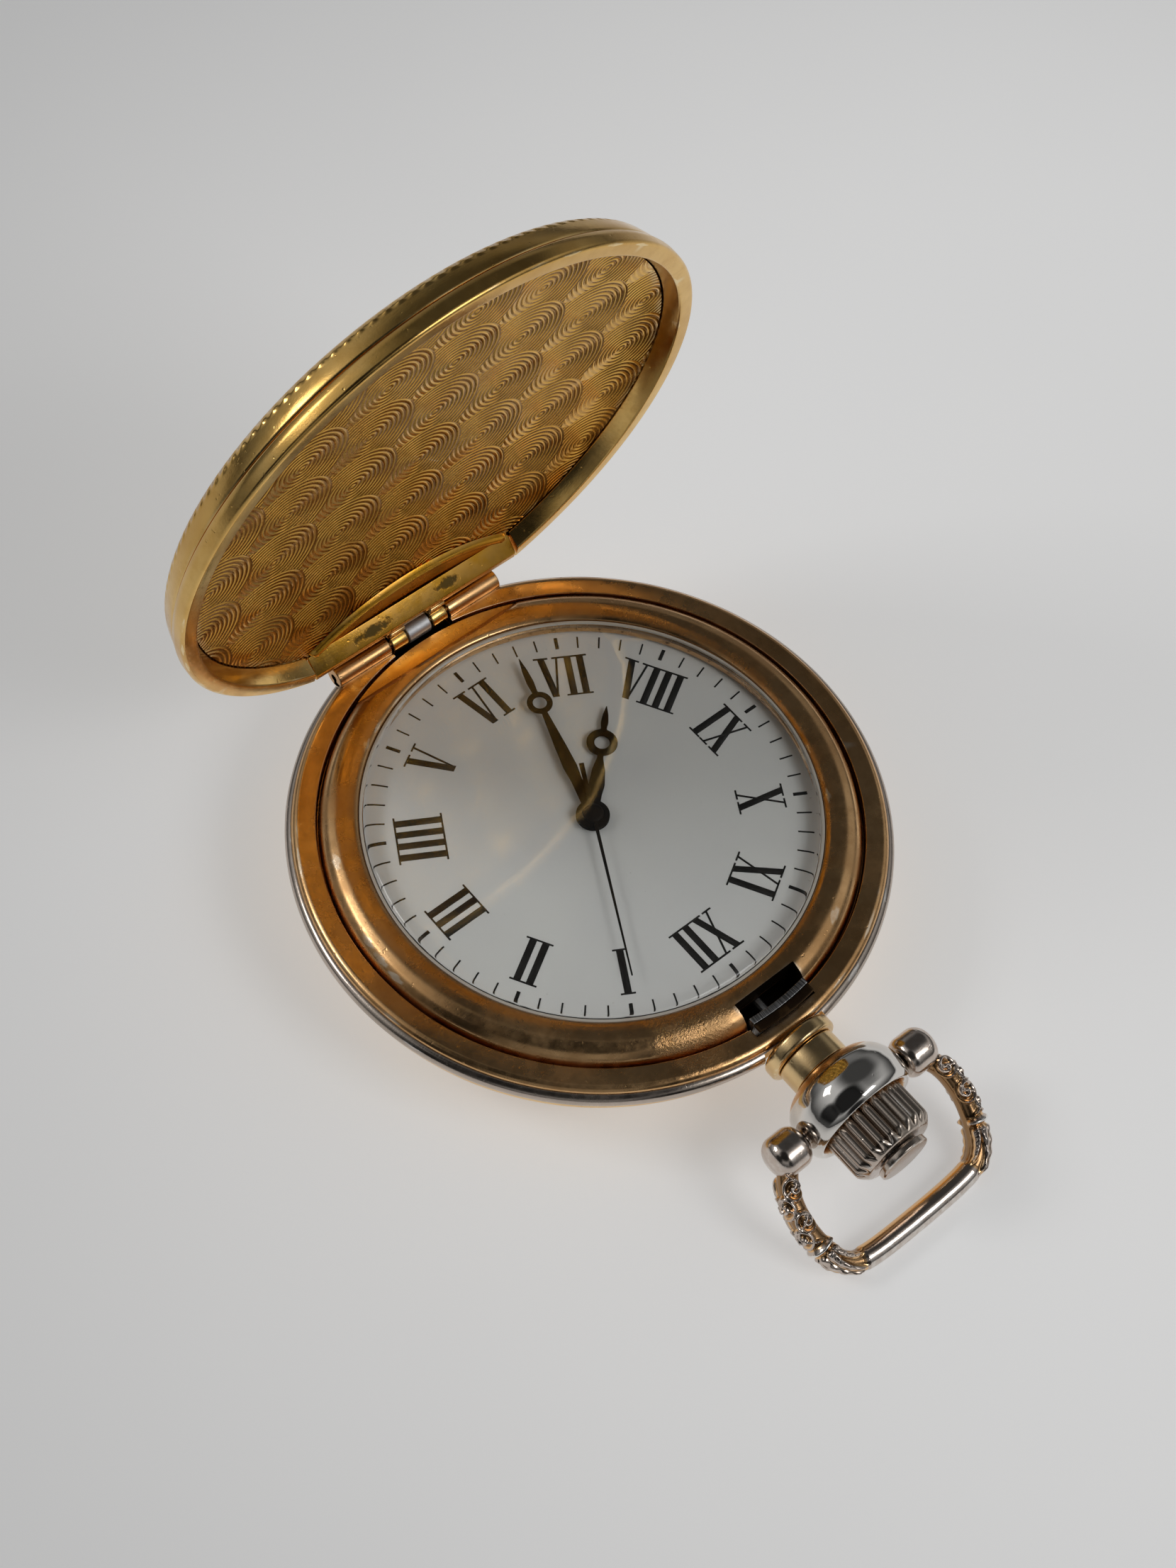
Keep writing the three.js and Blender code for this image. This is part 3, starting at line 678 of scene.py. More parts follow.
def carve(piece, *cutters, crease=32.0):
    """Cuts the cutters out of the piece and drops them."""
    for cutter in cutters:
        cut = piece.modifiers.new("cut", "BOOLEAN")
        assign(cut, operation="DIFFERENCE", solver="EXACT", material_mode="TRANSFER", object=cutter)
    done = baked(piece)
    old = piece.data
    piece.modifiers.clear()
    piece.data = done
    done.name = piece.name
    bpy.data.meshes.remove(old)
    for cutter in cutters:
        bpy.data.objects.remove(cutter)
    smooth(done, crease)
    return piece


def block(x, y, z, finish=gold):
    """A box between two limits on each axis."""
    points = [(a, b, c) for a in x for b in y for c in z]
    faces = [(0, 1, 3, 2), (4, 6, 7, 5), (0, 4, 5, 1), (2, 3, 7, 6), (0, 2, 6, 4), (1, 5, 7, 3)]
    return add_mesh("block", points, faces, finish)


def prism_x(shape, half, finish):
    """A (y, z) polygon extruded along X to both sides."""
    count = len(shape)
    points = [(-half, y, z) for y, z in shape] + [(half, y, z) for y, z in shape]
    faces = [tuple(range(count)), tuple(range(2 * count - 1, count - 1, -1))]
    faces += [(i, i + count, (i + 1) % count + count, (i + 1) % count) for i in range(count)]
    return weld(add_mesh("prism", points, faces, finish))


def rod_x(radius, left, right, y=HINGE_Y, z=HINGE_Z, name="rod", finish=gold, corner=0.0):
    """A rod along X, on the hinge's axis unless placed elsewhere."""
    profile = section((0, radius), (left, right))
    return lathe(name, profile, finish, SMALL_ROUND, "X", (0, y, z), corner)


def soften(piece, width):
    """Rounds the sharp edges of a piece, as a polishing wheel would."""
    round_off = piece.modifiers.new("round_off", "BEVEL")
    limit = math.radians(32)
    assign(round_off, width=width * MM, segments=3, limit_method="ANGLE", angle_limit=limit)
    return carve(piece)


def keep_arc(piece, left, right):
    """Keeps only what lies between two X limits on the side of XII."""
    carve(piece, block((-30, left), (-30, 30), (0, 20)), block((right, 30), (-30, 30), (0, 20)))
    return carve(piece, block((-30, 30), (-30, 0), (0, 20)))


def merged(name, *pieces):
    """One object from several, placed as they are."""
    joined = bmesh.new()
    for piece in pieces:
        joined.from_mesh(piece.data)
    first = pieces[0]
    joined.to_mesh(first.data)
    joined.free()
    for piece in pieces[1:]:
        bpy.data.objects.remove(piece)
    first.name = name
    first.data.name = name
    return first


# ---------------- case


def hinge_room():
    """What the hinge clears in the case ring and the ledge: its whole length, and its middle deeper."""
    whole, middle = (-8.05, 8.05), (-2.85, 2.85)
    above = 9.6
    return (
        rod_x(0.95, *whole, finish=rose_gold),
        # The middle's cutters carry painted shade: the walls they cut come out black.
        rod_x(1.15, *middle, finish=painted_shade_black),
        block(whole, (HINGE_Y, -21.05), (7.35, above), rose_gold),
        block(middle, (HINGE_Y, -20.5), (7.25, above), painted_shade_black),
        block(whole, (-24.5, HINGE_Y), (7.585, above), rose_gold),
    )


def catch_room():
    """The slot for the catch, open at the top. The walls it cuts take its painted-shade black."""
    return block((-3.2, 2.6), (18.95, 21.6), (5.6, 12.0), painted_shade_black)


def pendant_room(start):
    """A round hole for the pendant, from a distance from the case's middle outwards."""
    return lathe("pendant_room", section((0, 3.05), (start, 25)), gold, 64, "Y", (0, 0, AXIS_Z), 0)


case_ring = [
    (18.35, 4.45), (21.5, 4.45), (21.5, 6.36), (22.05, 6.36), (22.05, 7.6), (22.85, 7.62),
    (22.8, 7.85), (22.6, 8.05), (22.35, 8.15), (21.0, 8.15), (21.0, 7.25), (18.35, 7.25),
]
ledge = lathe("case_ledge", case_ring, rose_gold, corner=0.1)
carve(ledge, *hinge_room(), catch_room())
settle(ledge, "case", "rose_gold_plate", "case_middle")

band_ring = [
    (22.1, 6.35), (23.1, 6.35), (23.32, 6.6), (23.4, 6.95), (23.3, 7.3), (22.95, 7.57), (22.1, 7.57),
]
band = lathe("case_side_band", band_ring, silver, corner=0.2)
carve(band, pendant_room(22.8))
settle(band, "case", "silver_plate", "case_band")

back_shell = [
    (0, 0), (12, 0), (15, 0.25), (18, 0.95), (20.3, 2.1), (21.9, 3.6), (22.8, 5.1), (23.15, 6.3),
    (21.65, 6.3), (21.65, 4.3), (21.25, 3.75), (19.9, 2.8), (17.8, 1.85), (14.8, 1.15),
    (12, 0.9), (0, 0.9),
]
back = lathe("case_back_shell", back_shell, back_outside, corner=0.5)
carve(back, pendant_room(20))
settle(back, "case", "gold_plate", "case_back")

bezel_ring = [
    (18.6, 7.3), (20.9, 7.3), (20.8, 7.9), (20.55, 8.4), (20.1, 8.85), (19.4, 9.15), (18.7, 9.2),
    (18.1, 9.1), (17.78, 8.95), (17.78, 8.25), (17.15, 8.25), (17.15, 7.6), (18.6, 7.6),
]
bezel = lathe("bezel_ring", bezel_ring, rose_gold, corner=0.22)
hinge_flat = prism_x([(-24, 8.05), (-19.2, 8.05), (-17.95, 9.6), (-24, 9.6)], 10.3, rose_gold)
carve(bezel, hinge_flat, catch_room())
settle(bezel, "case", "rose_gold_plate", "bezel")

lens = [
    (0, 8.85), (9, 8.7), (14, 8.5), (17.45, 8.3),
    (17.45, 8.95), (16.8, 9.2), (14, 9.4), (9, 9.62), (0, 9.78),
]
window = lathe("watch_crystal", lens, glass, corner=0.3, crease=80.0)
window.visible_shadow = False
settle(window, "case", "crystal", "crystal")

seal = lathe("crystal_seal", section((17.5, 17.73), (8.3, 8.9)), ivory_plastic, corner=0.06)
settle(seal, "case", "white_plastic", "crystal_gasket")

SIDES = ((1, "left"), (-1, "right"))
for side, name in SIDES:
    ends = (-8 * side, -2.9 * side)
    web = block(sorted(ends), (-22, -21.1), (7.4, 8.1))
    knuckle = merged(f"case_knuckle_{name}", rod_x(0.9, *ends, finish=rose_gold, corner=0.12), web)
    settle(knuckle, "case", "rose_gold_plate", f"hinge_knuckle_{name}")

roller = rod_x(0.85, -1.1, 1.1, name="spring_roller", finish=satin_steel, corner=0.12)
settle(roller, "case", "steel", "lid_spring")


# ---------------- lid


def lid_lathe(name, profile, finish, **options):
    """A lid piece turned about the lid's middle, with heights above its closed plane."""
    return lathe(name, profile, finish, centre=(0, 0, LID_PLANE_Z), **options)


def settle_lid(piece, slot, node):
    """Turns a piece drawn in the closed lid to the open rest pose, on the lid's body."""
    piece.data.transform(in_metres(LID_POSE))
    settle(piece, "lid", slot, node)


rim_wall = [(21.5, 0), (22.6, 0), (22.78, 0.2), (22.78, 0.95), (22.6, 1.45), (20.98, 1.45)]
rim = lid_lathe("lid_edge_ring", rim_wall, gold, corner=0.16)
groove = lid_lathe("groove", section((20, 22.1), (0.3, 0.95)), gold, steps=96, corner=0)
hinge_gap = block((-10.05, 10.05), (-24, -18), (LID_PLANE_Z - 1, LID_PLANE_Z + 3))
carve(rim, hinge_gap, keep_arc(groove, -3.6, 3.6))
settle_lid(rim, "gold_plate", "lid_rim")

dome = [
    (0, 4.3), (8, 4.15), (15, 3.75), (20.3, 3.1), (21.3, 2.4), (21.6, 1.5), (22.5, 1.5), (22.4, 2.1),
    (22.1, 3.05), (21.6, 3.55), (20.7, 3.85), (15, 4.5), (8, 4.88), (0, 5),
]
cover = lid_lathe("lid_dome", dome, lid_outside, corner=0.3)
settle_lid(cover, "gold_plate", "lid_cover")

floor_disc = [
    (20.9, 1.45), (19, 1.65), (14, 2), (8, 2.3), (0, 2.4),
    (0, 2.7), (8, 2.6), (14, 2.3), (19, 1.95), (20.9, 1.75),
]
liner = lid_lathe("lid_floor_disc", floor_disc, lid_floor, corner=0, longest=0.8)
settle_lid(liner, "engraved_gold", "lid_liner")


def liner_height(radius):
    """The height of the liner's visible face above the lid's plane."""
    known = sorted(floor_disc[:5])
    return float(np.interp(radius, [r for r, _ in known], [h for _, h in known]))


HINGE_PLATE_HALF = 9.9


def crescent():
    """The plain plate by the hinge: a thin crescent with a rounded raised edge along its arc."""
    arc_y, arc_r = -35.5, 19.7
    plate_r, flange_y = 20.75, -19.6
    flat_lift, ridge_lift, ridge_at, ridge_wide = 0.12, 0.26, 0.42, 0.3
    feather = 0.1
    half = HINGE_PLATE_HALF
    columns, rows = 72, 26
    points, faces = [], []
    for i in range(columns + 1):
        x = -half + 2 * half * i / columns
        top = arc_y + math.sqrt(arc_r**2 - x**2)
        bottom = max(-math.sqrt(plate_r**2 - x**2), flange_y)
        for j in range(rows + 1):
            t = j / rows
            y = bottom + (top - bottom) * t
            edge = (top - y) * math.cos(math.asin(x / arc_r))
            lift = flat_lift + ridge_lift * math.exp(-(((edge - ridge_at) / ridge_wide) ** 2))
            if edge < feather:
                lift *= edge / feather
            points.append((x, y, LID_PLANE_Z + liner_height(math.hypot(x, y)) - lift))
    for i in range(columns):
        for j in range(rows):
            a = i * (rows + 1) + j
            faces.append((a, a + 1, a + rows + 2, a + rows + 1))
    made = add_mesh("crescent", points, faces, crescent_plate)
    assign(made.modifiers.new("thick", "SOLIDIFY"), thickness=0.14 * MM, offset=1.0)
    return carve(made, crease=40)


flange_shape = [(-20.25, 0), (-19.6, 0), (-18.5, 1.3), (-20.25, 1.3)]
flange = prism_x(flange_shape, HINGE_PLATE_HALF, crescent_plate)
flange.data.transform(Matrix.Translation((0, 0, LID_PLANE_Z * MM)))
soften(flange, 0.1)
hinge_plate = merged("lid_crescent_plate", crescent(), flange)
hinge_plate.data.set_sharp_from_angle(angle=math.radians(35))
settle_lid(hinge_plate, "gold_plate", "lid_hinge_block")

for side, name in SIDES:
    ends = sorted((-1.25 * side, -2.7 * side))
    eye = rod_x(0.9, *ends, corner=0.1)
    arm = soften(block(ends, (-22, -20.3), (8.15, 8.85)), 0.1)
    settle_lid(merged(f"lid_eye_{name}", eye, arm), "gold_plate", f"lid_knuckle_{name}")


# ---------------- pendant and crown


def along_y(name, profile, finish, steps=160, **options):
    """A piece turned about the crown's axis."""
    return lathe(name, profile, finish, steps, "Y", (0, 0, AXIS_Z), **options)


collar_profile = [(1.5, 23), (2.7, 23), (3, 23.25), (3, 24.1), (2.8, 24.3), (1.5, 24.3)]
collar = along_y("pendant_bead", collar_profile, pale_gold, corner=0.3)
settle(collar, "case", "gold_plate", "pendant_collar")
neck_profile = [(1, 21.7), (1.45, 21.7), (1.45, 24.35), (2.5, 24.35), (2.5, 26.2), (1, 26.2)]
neck = along_y("pendant_neck", neck_profile, pale_gold, corner=0.1)
settle(neck, "case", "gold_plate", "pendant_tube")


def head_finish():
    """Chrome on the rounded ring, gold on the flank that faces the case and in the cavity."""
    s, _, rough, normal = worn_metal(
        "head_finish", SILVER, SILVER_DEEP, SILVER_WORN, (0.03, 0.1), grain=0.001, pits=0.004
    )
    x, y, z = s.parts(s.point)
    reach = s.reach(x, s.minus(z, AXIS_Z * MM))
    ragged = s.muladd(s.noise(0.8), 0.0003, reach)
    flank = s.step(y, 27.15 * MM, 27.0 * MM)
    inside = s.step(ragged, 4.12 * MM, 4.02 * MM)
    cavity = s.times(inside, s.step(y, 27.9 * MM, 28.0 * MM))
    both = s.math("MAXIMUM", flank, cavity)
    colour = s.mix(both, (0.70, 0.67, 0.63), (0.66, 0.38, 0.16))
    rough = s.muladd(both, 0.2, rough)
    return s.finish(colour, rough, normal)


head_profile = [
    (1.15, 26.25), (2.6, 26.25), (3.5, 26.6), (4.3, 27.3), (4.75, 28.3), (4.85, 29.3), (4.6, 30.4),
    (4.25, 30.8), (3.95, 30.7), (3.75, 30.1), (3.7, 28.1), (1.15, 28.1),
]
head = along_y("pendant_cup", head_profile, head_finish(), corner=0.35, crease=60.0)
carve(head, rod_x(0.75, -6, 6, PIVOT_Y, AXIS_Z), crease=40.0)
settle(head, "case", "silver_plate", "pendant_head")

FLUTES = 24


def ramp(value, start, width):
    """0 up to start and 1 a width after it, or 0 beyond start and 1 before it if width is negative."""
    return np.clip((value - start) / width, 0, 1)


def fluted(radius, height, angle):
    """Rounded ridges on the crown's side, fading at both ends."""
    side = ramp(radius, 2.9, 0.3)
    along = ramp(height, 29.45, 0.35) * ramp(height, 34.1, -0.6)
    flute = np.abs(np.cos(angle * FLUTES / 2)) ** 0.75
    return radius - 0.42 * side * along * (1 - flute)


crown_profile = [
    (0.45, 31), (0.45, 29.2), (3, 29.2), (3.5, 29.6), (3.5, 33.5), (2.9, 34.2), (0, 34.2), (0, 31),
]
knob = along_y(
    "crown_knob", crown_profile, silver,
    steps=FLUTES * 18, corner=0.18, wave=fluted, longest=0.16, crease=50.0,
)
settle(knob, "crown", "silver_plate", "crown")
cap_profile = [
    (0, 34.25), (1.7, 34.25), (1.7, 34.45), (2.15, 34.45), (2.15, 34.9), (2, 35), (0, 35),
]
cap = along_y("crown_button", cap_profile, silver, corner=0.07)
settle(cap, "crown", "silver_plate", "crown_cap")


# ---------------- bow


def bow_path():
    """Points along the bow's centre line, drawn straight out from its pivots, evenly spaced."""
    right = [(6.4, 0.4), (7.6, 2.1), (8.05, 4.5), (7.75, 7.0), (6.9, 9.0), (5.1, 9.95)]
    keys = right + [(0.0, 10.15)] + [(-x, y) for x, y in reversed(right)]
    pts = np.array([keys[0], *keys, keys[-1]], float)
    fine = []
    for i in range(len(keys) - 1):
        a, b, c, d = pts[i : i + 4]
        for t in np.linspace(0, 1, 60, endpoint=False):
            bend = (2 * a - 5 * b + 4 * c - d) * t**2 + (3 * b - 3 * c + d - a) * t**3
            fine.append(0.5 * (2 * b + (c - a) * t + bend))
    fine.append(pts[-1])
    fine = np.array(fine)
    length = np.concatenate([[0], np.cumsum(np.linalg.norm(np.diff(fine, axis=0), axis=1))])
    even = np.linspace(0, length[-1], 520)
    spread = [np.interp(even, length, fine[:, axis]) for axis in (0, 1)]
    return np.stack(spread, 1), even


def ridge(value, width):
    """A rounded ridge along value = 0."""
    return np.exp(-((value / width) ** 2))


def scroll(along, around, start, middle, hand):
    """A spiral ridge about a point on the bar's unrolled surface."""
    pitch, reach = 0.62, 1.05
    s, t = along - start, around - middle
    away = np.hypot(s, t)
    turn = np.arctan2(t, s) * hand / (2 * math.pi)
    arm = (away / pitch - turn) % 1.0 - 0.5
    high = np.clip(np.cos(arm * 2 * math.pi) * 0.5 + 0.5, 0, 1) ** 1.3
    return high * ramp(away, reach, -0.2)


def ornament(along, around):
    """Relief height, 0 to 1, at a distance from the ball end and an angle around the bar."""
    high = np.zeros_like(along + around)
    for start, middle, hand in ((2.1, 0.55, 1), (3.3, -0.6, -1), (4.6, 0.55, 1), (5.7, -0.55, -1)):
        high = np.maximum(high, scroll(along, around, start, middle, hand))
    vine = ridge(around - 0.75 * np.sin((along - 1.2) * 2 * math.pi / 2.5), 0.22)
    vine *= ramp(along, 0.8, 0.4) * ramp(along, 6.7, -0.3)
    high = np.maximum(high, 0.8 * vine)
    high = np.maximum(high, 1.25 * ridge(along - 7.05, 0.24))
    leaf = ramp(along, 7.4, 0.3)
    taper = ramp(along, 11.3, -3.4) ** 0.55
    for middle in (-1.5, 0.0, 1.5):
        blade = ramp(np.abs(around - middle), 0.85 * taper, -0.22)
        vein = 1 - 0.55 * ridge(around - middle, 0.16)
        lobes = 0.88 + 0.12 * np.cos(along * 2 * math.pi / 0.8 + np.abs(around - middle) * 5)
        high = np.maximum(high, blade * vein * lobes * leaf)
    return high


def set_relief(piece, values):
    """Keeps the relief height of each point, for the bow's finish."""
    relief = piece.data.attributes.new("relief", "FLOAT", "POINT")
    relief.data.foreach_set("value", values)
    return piece


def bow_bar():
    """The cast bar of the bow, with its scrolls, collar and leaves raised from the surface."""
    path, even = bow_path()
    total = even[-1]
    sides = 112
    ahead = np.gradient(path, axis=0)
    ahead /= np.linalg.norm(ahead, axis=1)[:, None]
    outward = np.stack([ahead[:, 1], -ahead[:, 0]], 1)
    outward *= np.sign((outward * (path - np.array([0, 4.5]))).sum(1))[:, None]
    along = np.minimum(even, total - even)[:, None]
    phi = np.arange(sides) * 2 * math.pi / sides
    around = np.where(phi > math.pi, phi - 2 * math.pi, phi)[None, :]
    plain = ramp(along, 10.6, 0.5)
    face = np.abs(around) - 0.95
    high = ornament(along, face) * (1 - plain) * ramp(np.abs(around), 2.75, -0.5)
    base = 0.8 + 0.13 * plain - 0.05 * ramp(along, 2, -2)
    radius = base + 0.34 * high
    cos, sin = np.cos(phi)[None, :], np.sin(phi)[None, :]
    x = path[:, :1] + outward[:, :1] * radius * cos
    y = path[:, 1:] + outward[:, 1:] * radius * cos
    z = radius * sin * np.ones_like(x)
    points = np.stack([x, y + PIVOT_Y, z + AXIS_Z], -1).reshape(-1, 3)
    count = len(even)
    faces = []
    for low in range(0, (count - 1) * sides, sides):
        for j in range(sides):
            k = (j + 1) % sides
            faces.append((low + j, low + k, low + sides + k, low + sides + j))
    faces += [tuple(range(sides)), tuple(range(count * sides - 1, (count - 1) * sides - 1, -1))]
    made = add_mesh("bar", points, faces, bow_metal, crease=75.0)
    inside = np.clip(-cos * 1.4 - 0.35, 0, 1)
    tone = np.maximum(high, plain) * (1 - 0.75 * inside) * np.ones_like(radius)
    return set_relief(made, tone.reshape(-1).astype(np.float32))


def bow_end(side):
    """A barrel-shaped ball end with its pivot pin."""
    profile = [
        (0, 3.9), (0.6, 3.9), (0.6, 5.0), (1.35, 5.0), (1.65, 5.5), (1.65, 7.2), (1.2, 7.8), (0, 8.0),
    ]
    profile = [(r, h * side) for r, h in profile]
    centre = (0, PIVOT_Y, AXIS_Z)
    made = lathe("ball", profile, bow_metal, SMALL_ROUND, "X", centre, 0.5, longest=0.5, crease=50.0)
    return set_relief(made, [0.95] * len(made.data.vertices))


bow = merged("bow_casting", bow_bar(), bow_end(1), bow_end(-1))
bow.data.set_sharp_from_angle(angle=math.radians(60))
bow.data.transform(in_metres(BOW_POSE))
settle(bow, "bow", "silver_plate", "bow")


# ---------------- catch


def arc_bar(name, radii, heights):
    """A part of the catch: a short piece of a ring at XII."""
    ring = lathe(name, section(radii, heights), catch_steel, 480, corner=0)
    return soften(keep_arc(ring, -3.0, 2.4), 0.06)


catch = arc_bar("catch_plate", (20.5, 21.05), (5.8, 8.95))
lip = arc_bar("catch_lip", (21.07, 21.75), (8.55, 8.88))
# The lip is painted shade, near-black; the plate keeps its steel.
for index, part in enumerate((catch, lip)):
    part.data.materials.clear()
    part.data.materials.append(catch_steel)
    part.data.materials.append(painted_shade_black)
    part.data.polygons.foreach_set("material_index", [index] * len(part.data.polygons))
catch = merged("catch_arc", catch, lip)
settle(catch, "latch", "steel", "latch_catch")


# ---------------- dial and hands


def flat(name, loops, z, thickness, finish, bevel=0.0, crease=30.0):
    """Outlines in the XY plane filled and given thickness, their inner loops left open."""
    curve = bpy.data.curves.new(name, "CURVE")
    assign(curve, dimensions="2D", fill_mode="BOTH", extrude=(thickness / 2 - bevel) * MM)
    assign(curve, bevel_depth=bevel * MM, bevel_resolution=3, offset=-bevel * MM)
    for loop in loops:
        spline = curve.splines.new("POLY")
        spline.points.add(len(loop) - 1)
        for point, (x, y) in zip(spline.points, loop):
            point.co = (x * MM, y * MM, 0, 1)
        spline.use_cyclic_u = True
    shape = link(name, curve)
    mesh = baked(shape)
    bpy.data.objects.remove(shape)
    mesh.transform(Matrix.Translation((0, 0, (z + thickness / 2) * MM)))
    mesh.name = name
    mesh.materials.clear()
    mesh.materials.append(finish)
    smooth(mesh, crease)
    return weld(link(name, mesh), 1e-8)


def circle(radius, y, count=48):
    """A round outline about (0, y)."""
    turns = [2 * math.pi * k / count for k in range(count)]
    return [(radius * math.cos(a), y + radius * math.sin(a)) for a in turns]


face = lathe("dial_face", section((1, 18.25), (7.05, DIAL_Z)), dial_white, corner=0.03, longest=3.0)
settle(face, "case", "dial_white", "dial")

INK = 0.02
TICK_IN, TICK_OUT = 15.78, 16.84


def placed(angle, points):
    """Points (u to the right, v outward from the centre) at a clockwise angle from XII."""
    a = math.radians(angle)
    out, right = (math.sin(a), math.cos(a)), (math.cos(a), -math.sin(a))
    return [(u * right[0] + v * out[0], u * right[1] + v * out[1]) for u, v in points]


marks = []
for minute in range(60):
    half = 0.14 if minute % 5 == 0 else 0.062
    marks.append(placed(minute * 6, section((-half, half), (TICK_IN, TICK_OUT))))
ticks = flat("dial_ticks", marks, DIAL_Z, INK, print_black)
settle(ticks, "case", "hand_black")

NUMERAL_IN, NUMERAL_OUT = 11.31, 15.06
THICK, THIN, SERIF = 0.55, 0.17, 0.14
TALL = NUMERAL_OUT - NUMERAL_IN


def stroke(low, high, width):
    """A leaning stroke from low at the foot to high at the top."""
    half = width / 2
    return [(low - half, 0), (low + half, 0), (high + half, TALL), (high - half, TALL)]


def serif(middle, half, at_top):
    """A thin slab at a stroke's end."""
    edge = TALL if at_top else 0.0
    inward = -SERIF if at_top else SERIF
    return section((middle - half, middle + half), (edge, edge + inward))


def letter(kind, left):
    """(strokes, advance) of one numeral letter."""
    if kind == "I":
        x = left + 0.5
        return [stroke(x, x, THICK), serif(x, 0.56, False), serif(x, 0.56, True)], 0.99
    if kind == "V":
        a, b, foot = left + 0.55, left + 1.85, left + 1.27
        strokes = [stroke(foot, a, THICK), stroke(foot + 0.12, b, THIN)]
        return strokes + [serif(a, 0.58, True), serif(b, 0.4, True)], 2.2
    a, b = left + 0.55, left + 1.75
    strokes = [stroke(b, a, THICK), stroke(a, b, THIN)]
    ends = [serif(a, 0.56, True), serif(b, 0.42, True), serif(a, 0.42, False), serif(b, 0.56, False)]
    return strokes + ends, 2.2


NUMERALS = ("XII", "I", "II", "III", "IIII", "V", "VI", "VII", "VIII", "IX", "X", "XI")
ink = []
for hour, text in enumerate(NUMERALS):
    strokes, pen = [], 0.0
    for kind in text:
        parts, advance = letter(kind, pen)
        strokes += parts
        pen += advance
    for level, shape in enumerate(strokes):
        moved = placed(hour * 30, [(u - pen / 2, NUMERAL_IN + v) for u, v in shape])
        ink.append(flat("ink", [moved], DIAL_Z, INK + 0.0004 * (level % 3), print_black))
numerals = merged("dial_numerals", *ink)
settle(numerals, "case", "hand_black")


def eye_outline(length, eye_at, eye_r, wide):
    """One side of a leaf-shaped hand with a round eye, mirrored into a closed outline."""
    side = [
        (0.42, 0.0), (0.46, 1.4), (wide / 2 * 0.8, eye_at * 0.3), (wide / 2, eye_at * 0.42),
        (wide / 2 * 0.82, eye_at * 0.62), (0.26, eye_at - eye_r * 1.25), (0.24, eye_at - eye_r * 0.97),
    ]
    for k in range(25):
        a = math.radians(-76 + k * 152 / 24)
        side.append((eye_r * math.cos(a), eye_at + eye_r * math.sin(a)))
    neck_at = eye_at + eye_r
    tip = length - neck_at
    side += [(0.23, neck_at + 0.1), (0.3, neck_at + tip * 0.3), (0.22, neck_at + tip * 0.65)]
    side.append((0.03, length))
    return side + [(-x, y) for x, y in reversed(side)]


def eye_hand(body, angle, z, thickness, length, eye_at, eye_r, hole, wide):
    """A hand with an eye, and its hub."""
    name = f"{body}_blade"
    outline = placed(angle, eye_outline(length, eye_at, eye_r, wide))
    eye = placed(angle, circle(hole, eye_at))
    blade = flat(name, [outline, eye], z, thickness, hand_black, 0.045, 18.0)
    hub = lathe("hub", section((0.55, 1.3), (z, z + thickness)), hand_black, 64, corner=0.05)
    settle(merged(name, blade, hub), body, "hand_black", f"{body}_hand")


# Each hand's length, its eye's place, outer radius and hole, and its widest part.
HOUR_SIZES = (10.1, 6.7, 1.22, 0.6, 1.25)
MINUTE_SIZES = (15.2, 10.8, 1.02, 0.55, 1.1)
eye_hand("hour", HOUR_ANGLE, 7.74, 0.14, *HOUR_SIZES)
eye_hand("minute", MINUTE_ANGLE, 8.0, 0.12, *MINUTE_SIZES)
needle = flat(
    "second_needle",
    [placed(SECOND_ANGLE, [(-0.2, -4.5), (0.2, -4.5), (0.14, 0), (0.06, 14), (-0.06, 14), (-0.14, 0)])],
    8.25, 0.08, hand_black, 0.02, 50.0,
)
boss_profile = [(0, 8.2), (0.8, 8.2), (0.8, 8.34), (0.62, 8.42), (0, 8.45)]
boss = lathe("boss", boss_profile, hand_black, 64, corner=0.05)
settle(merged("second_needle", needle, boss), "seconds", "hand_black", "seconds_hand")


# ---------------- stage, lights and camera


# Where the painted pool of light on the floor is centred.
PAINTED_LIGHT_SPOT = (-0.06, 0.02, 0.0)
FLOOR_HALF = 6000.0
LIGHT_TARGET = Vector((0.0, 0.0, 0.01))
SKY_STRENGTH = 0.54
SKY_TONE = (0.985, 0.995, 1.0, 1)
# Darker parts of the sky: where each lies, its outer and inner half angles, and how dark it is.
SKY_SHADES = (
    ((0.37, 0.35, 0.86), 38.0, 22.0, 0.03),
    ((-0.38, -0.36, 0.85), 50.0, 22.0, 0.1),
    ((0.9, 0.1, 0.42), 24.0, 12.0, 0.06),
    ((0.15, 0.95, 0.35), 20.0, 9.0, 0.06),
    ((0.0, 0.0, -1.0), 138.0, 88.0, 0.08),
)
CAMERA_PLACE = (0.068253, 0.064165, 0.163556)
CAMERA_TURN = (31.622, -3.861, 139.881)


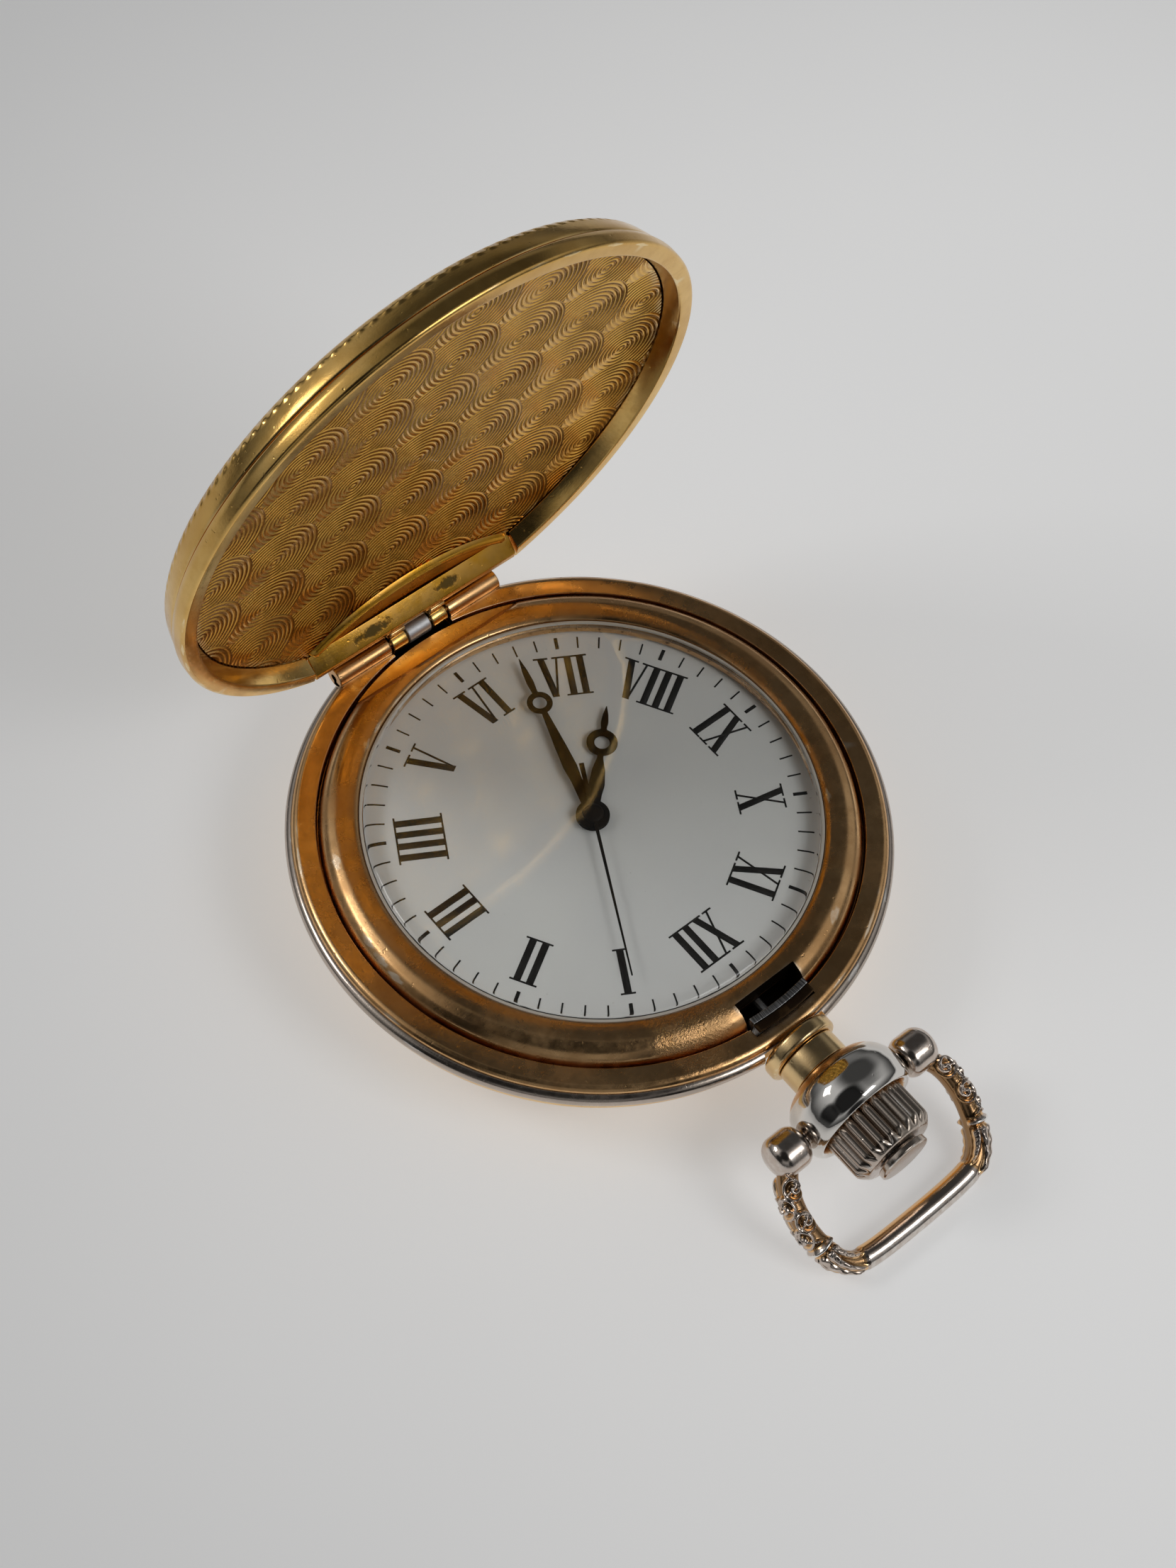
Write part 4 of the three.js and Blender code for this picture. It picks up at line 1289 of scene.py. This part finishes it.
def painted_light_floor():
    """Frosted floor, barely uneven, with painted light: brighter and glowing more near the watch."""
    s = Shader("painted_light_floor")
    drift = s.step(s.noise(60.0, 2.0), 0.35, 0.65)
    colour = s.mix(drift, (0.80, 0.80, 0.80), (0.775, 0.775, 0.775))
    away = s.away(PAINTED_LIGHT_SPOT)
    # Painted light falloff: the floor is paler near the watch and darker further out.
    colour = s.mix(s.step(away, 0.03, 0.25), colour, (0.62, 0.62, 0.62))
    # Painted light: the floor glows, more so near the watch.
    painted_glow = {
        "Emission Color": (1.0, 0.998, 0.992, 1),
        "Emission Strength": s.step(away, 0.05, 0.17, 0.37, 0.18),
    }
    return s.finish(colour, 0.6, s.bump(s.noise(0.8, 2.0), 0.01), 0.0, **painted_glow)


span = (-FLOOR_HALF, FLOOR_HALF)
corners = [(x, y, cad_box[0][2] / MM) for x, y in section(span, span)]
ground = add_mesh("floor", corners, [(0, 1, 2, 3)], painted_light_floor())


def soft_light(name, place, size, power):
    """An area light at a place in metres, facing the watch."""
    lamp = bpy.data.lights.new(name, "AREA")
    lamp.shape = "RECTANGLE"
    lamp.size, lamp.size_y = size
    lamp.energy = power
    made = link(name, lamp)
    made.location = place
    made.rotation_euler = (LIGHT_TARGET - Vector(place)).to_track_quat("-Z", "Y").to_euler()


def sky():
    """A pale lightbox, darker where the camera stands and in the patch that the crystal mirrors."""
    world = bpy.data.worlds.new("lightbox")
    s = Shader("lightbox", world)
    shade = SKY_STRENGTH
    for aim, wide, narrow, dark in SKY_SHADES:
        towards = s.vector("DOT_PRODUCT", s.point, Vector(aim).normalized())
        outer, inner = math.cos(math.radians(wide)), math.cos(math.radians(narrow))
        shade = s.times(shade, s.step(towards, outer, inner, 1.0, dark))
    backdrop = s.put("Background", {"Color": SKY_TONE, "Strength": shade})
    s.feed(s.end.inputs["Surface"], backdrop.outputs[0])
    bpy.context.scene.world = world


sky()
soft_light("top_box", (0.30, -0.28, 0.34), (0.16, 0.12), 0.34)
soft_light("front_box", (-0.13, 0.34, 0.36), (0.2, 0.16), 0.34)

lens_data = bpy.data.cameras.new("camera")
assign(lens_data, lens=54.63, sensor_width=36.0, clip_start=0.005)
camera = link("camera", lens_data)
camera.location = CAMERA_PLACE
camera.rotation_euler = Euler([math.radians(a) for a in CAMERA_TURN])
bpy.context.scene.camera = camera
bpy.context.scene.view_settings.view_transform = "Standard"
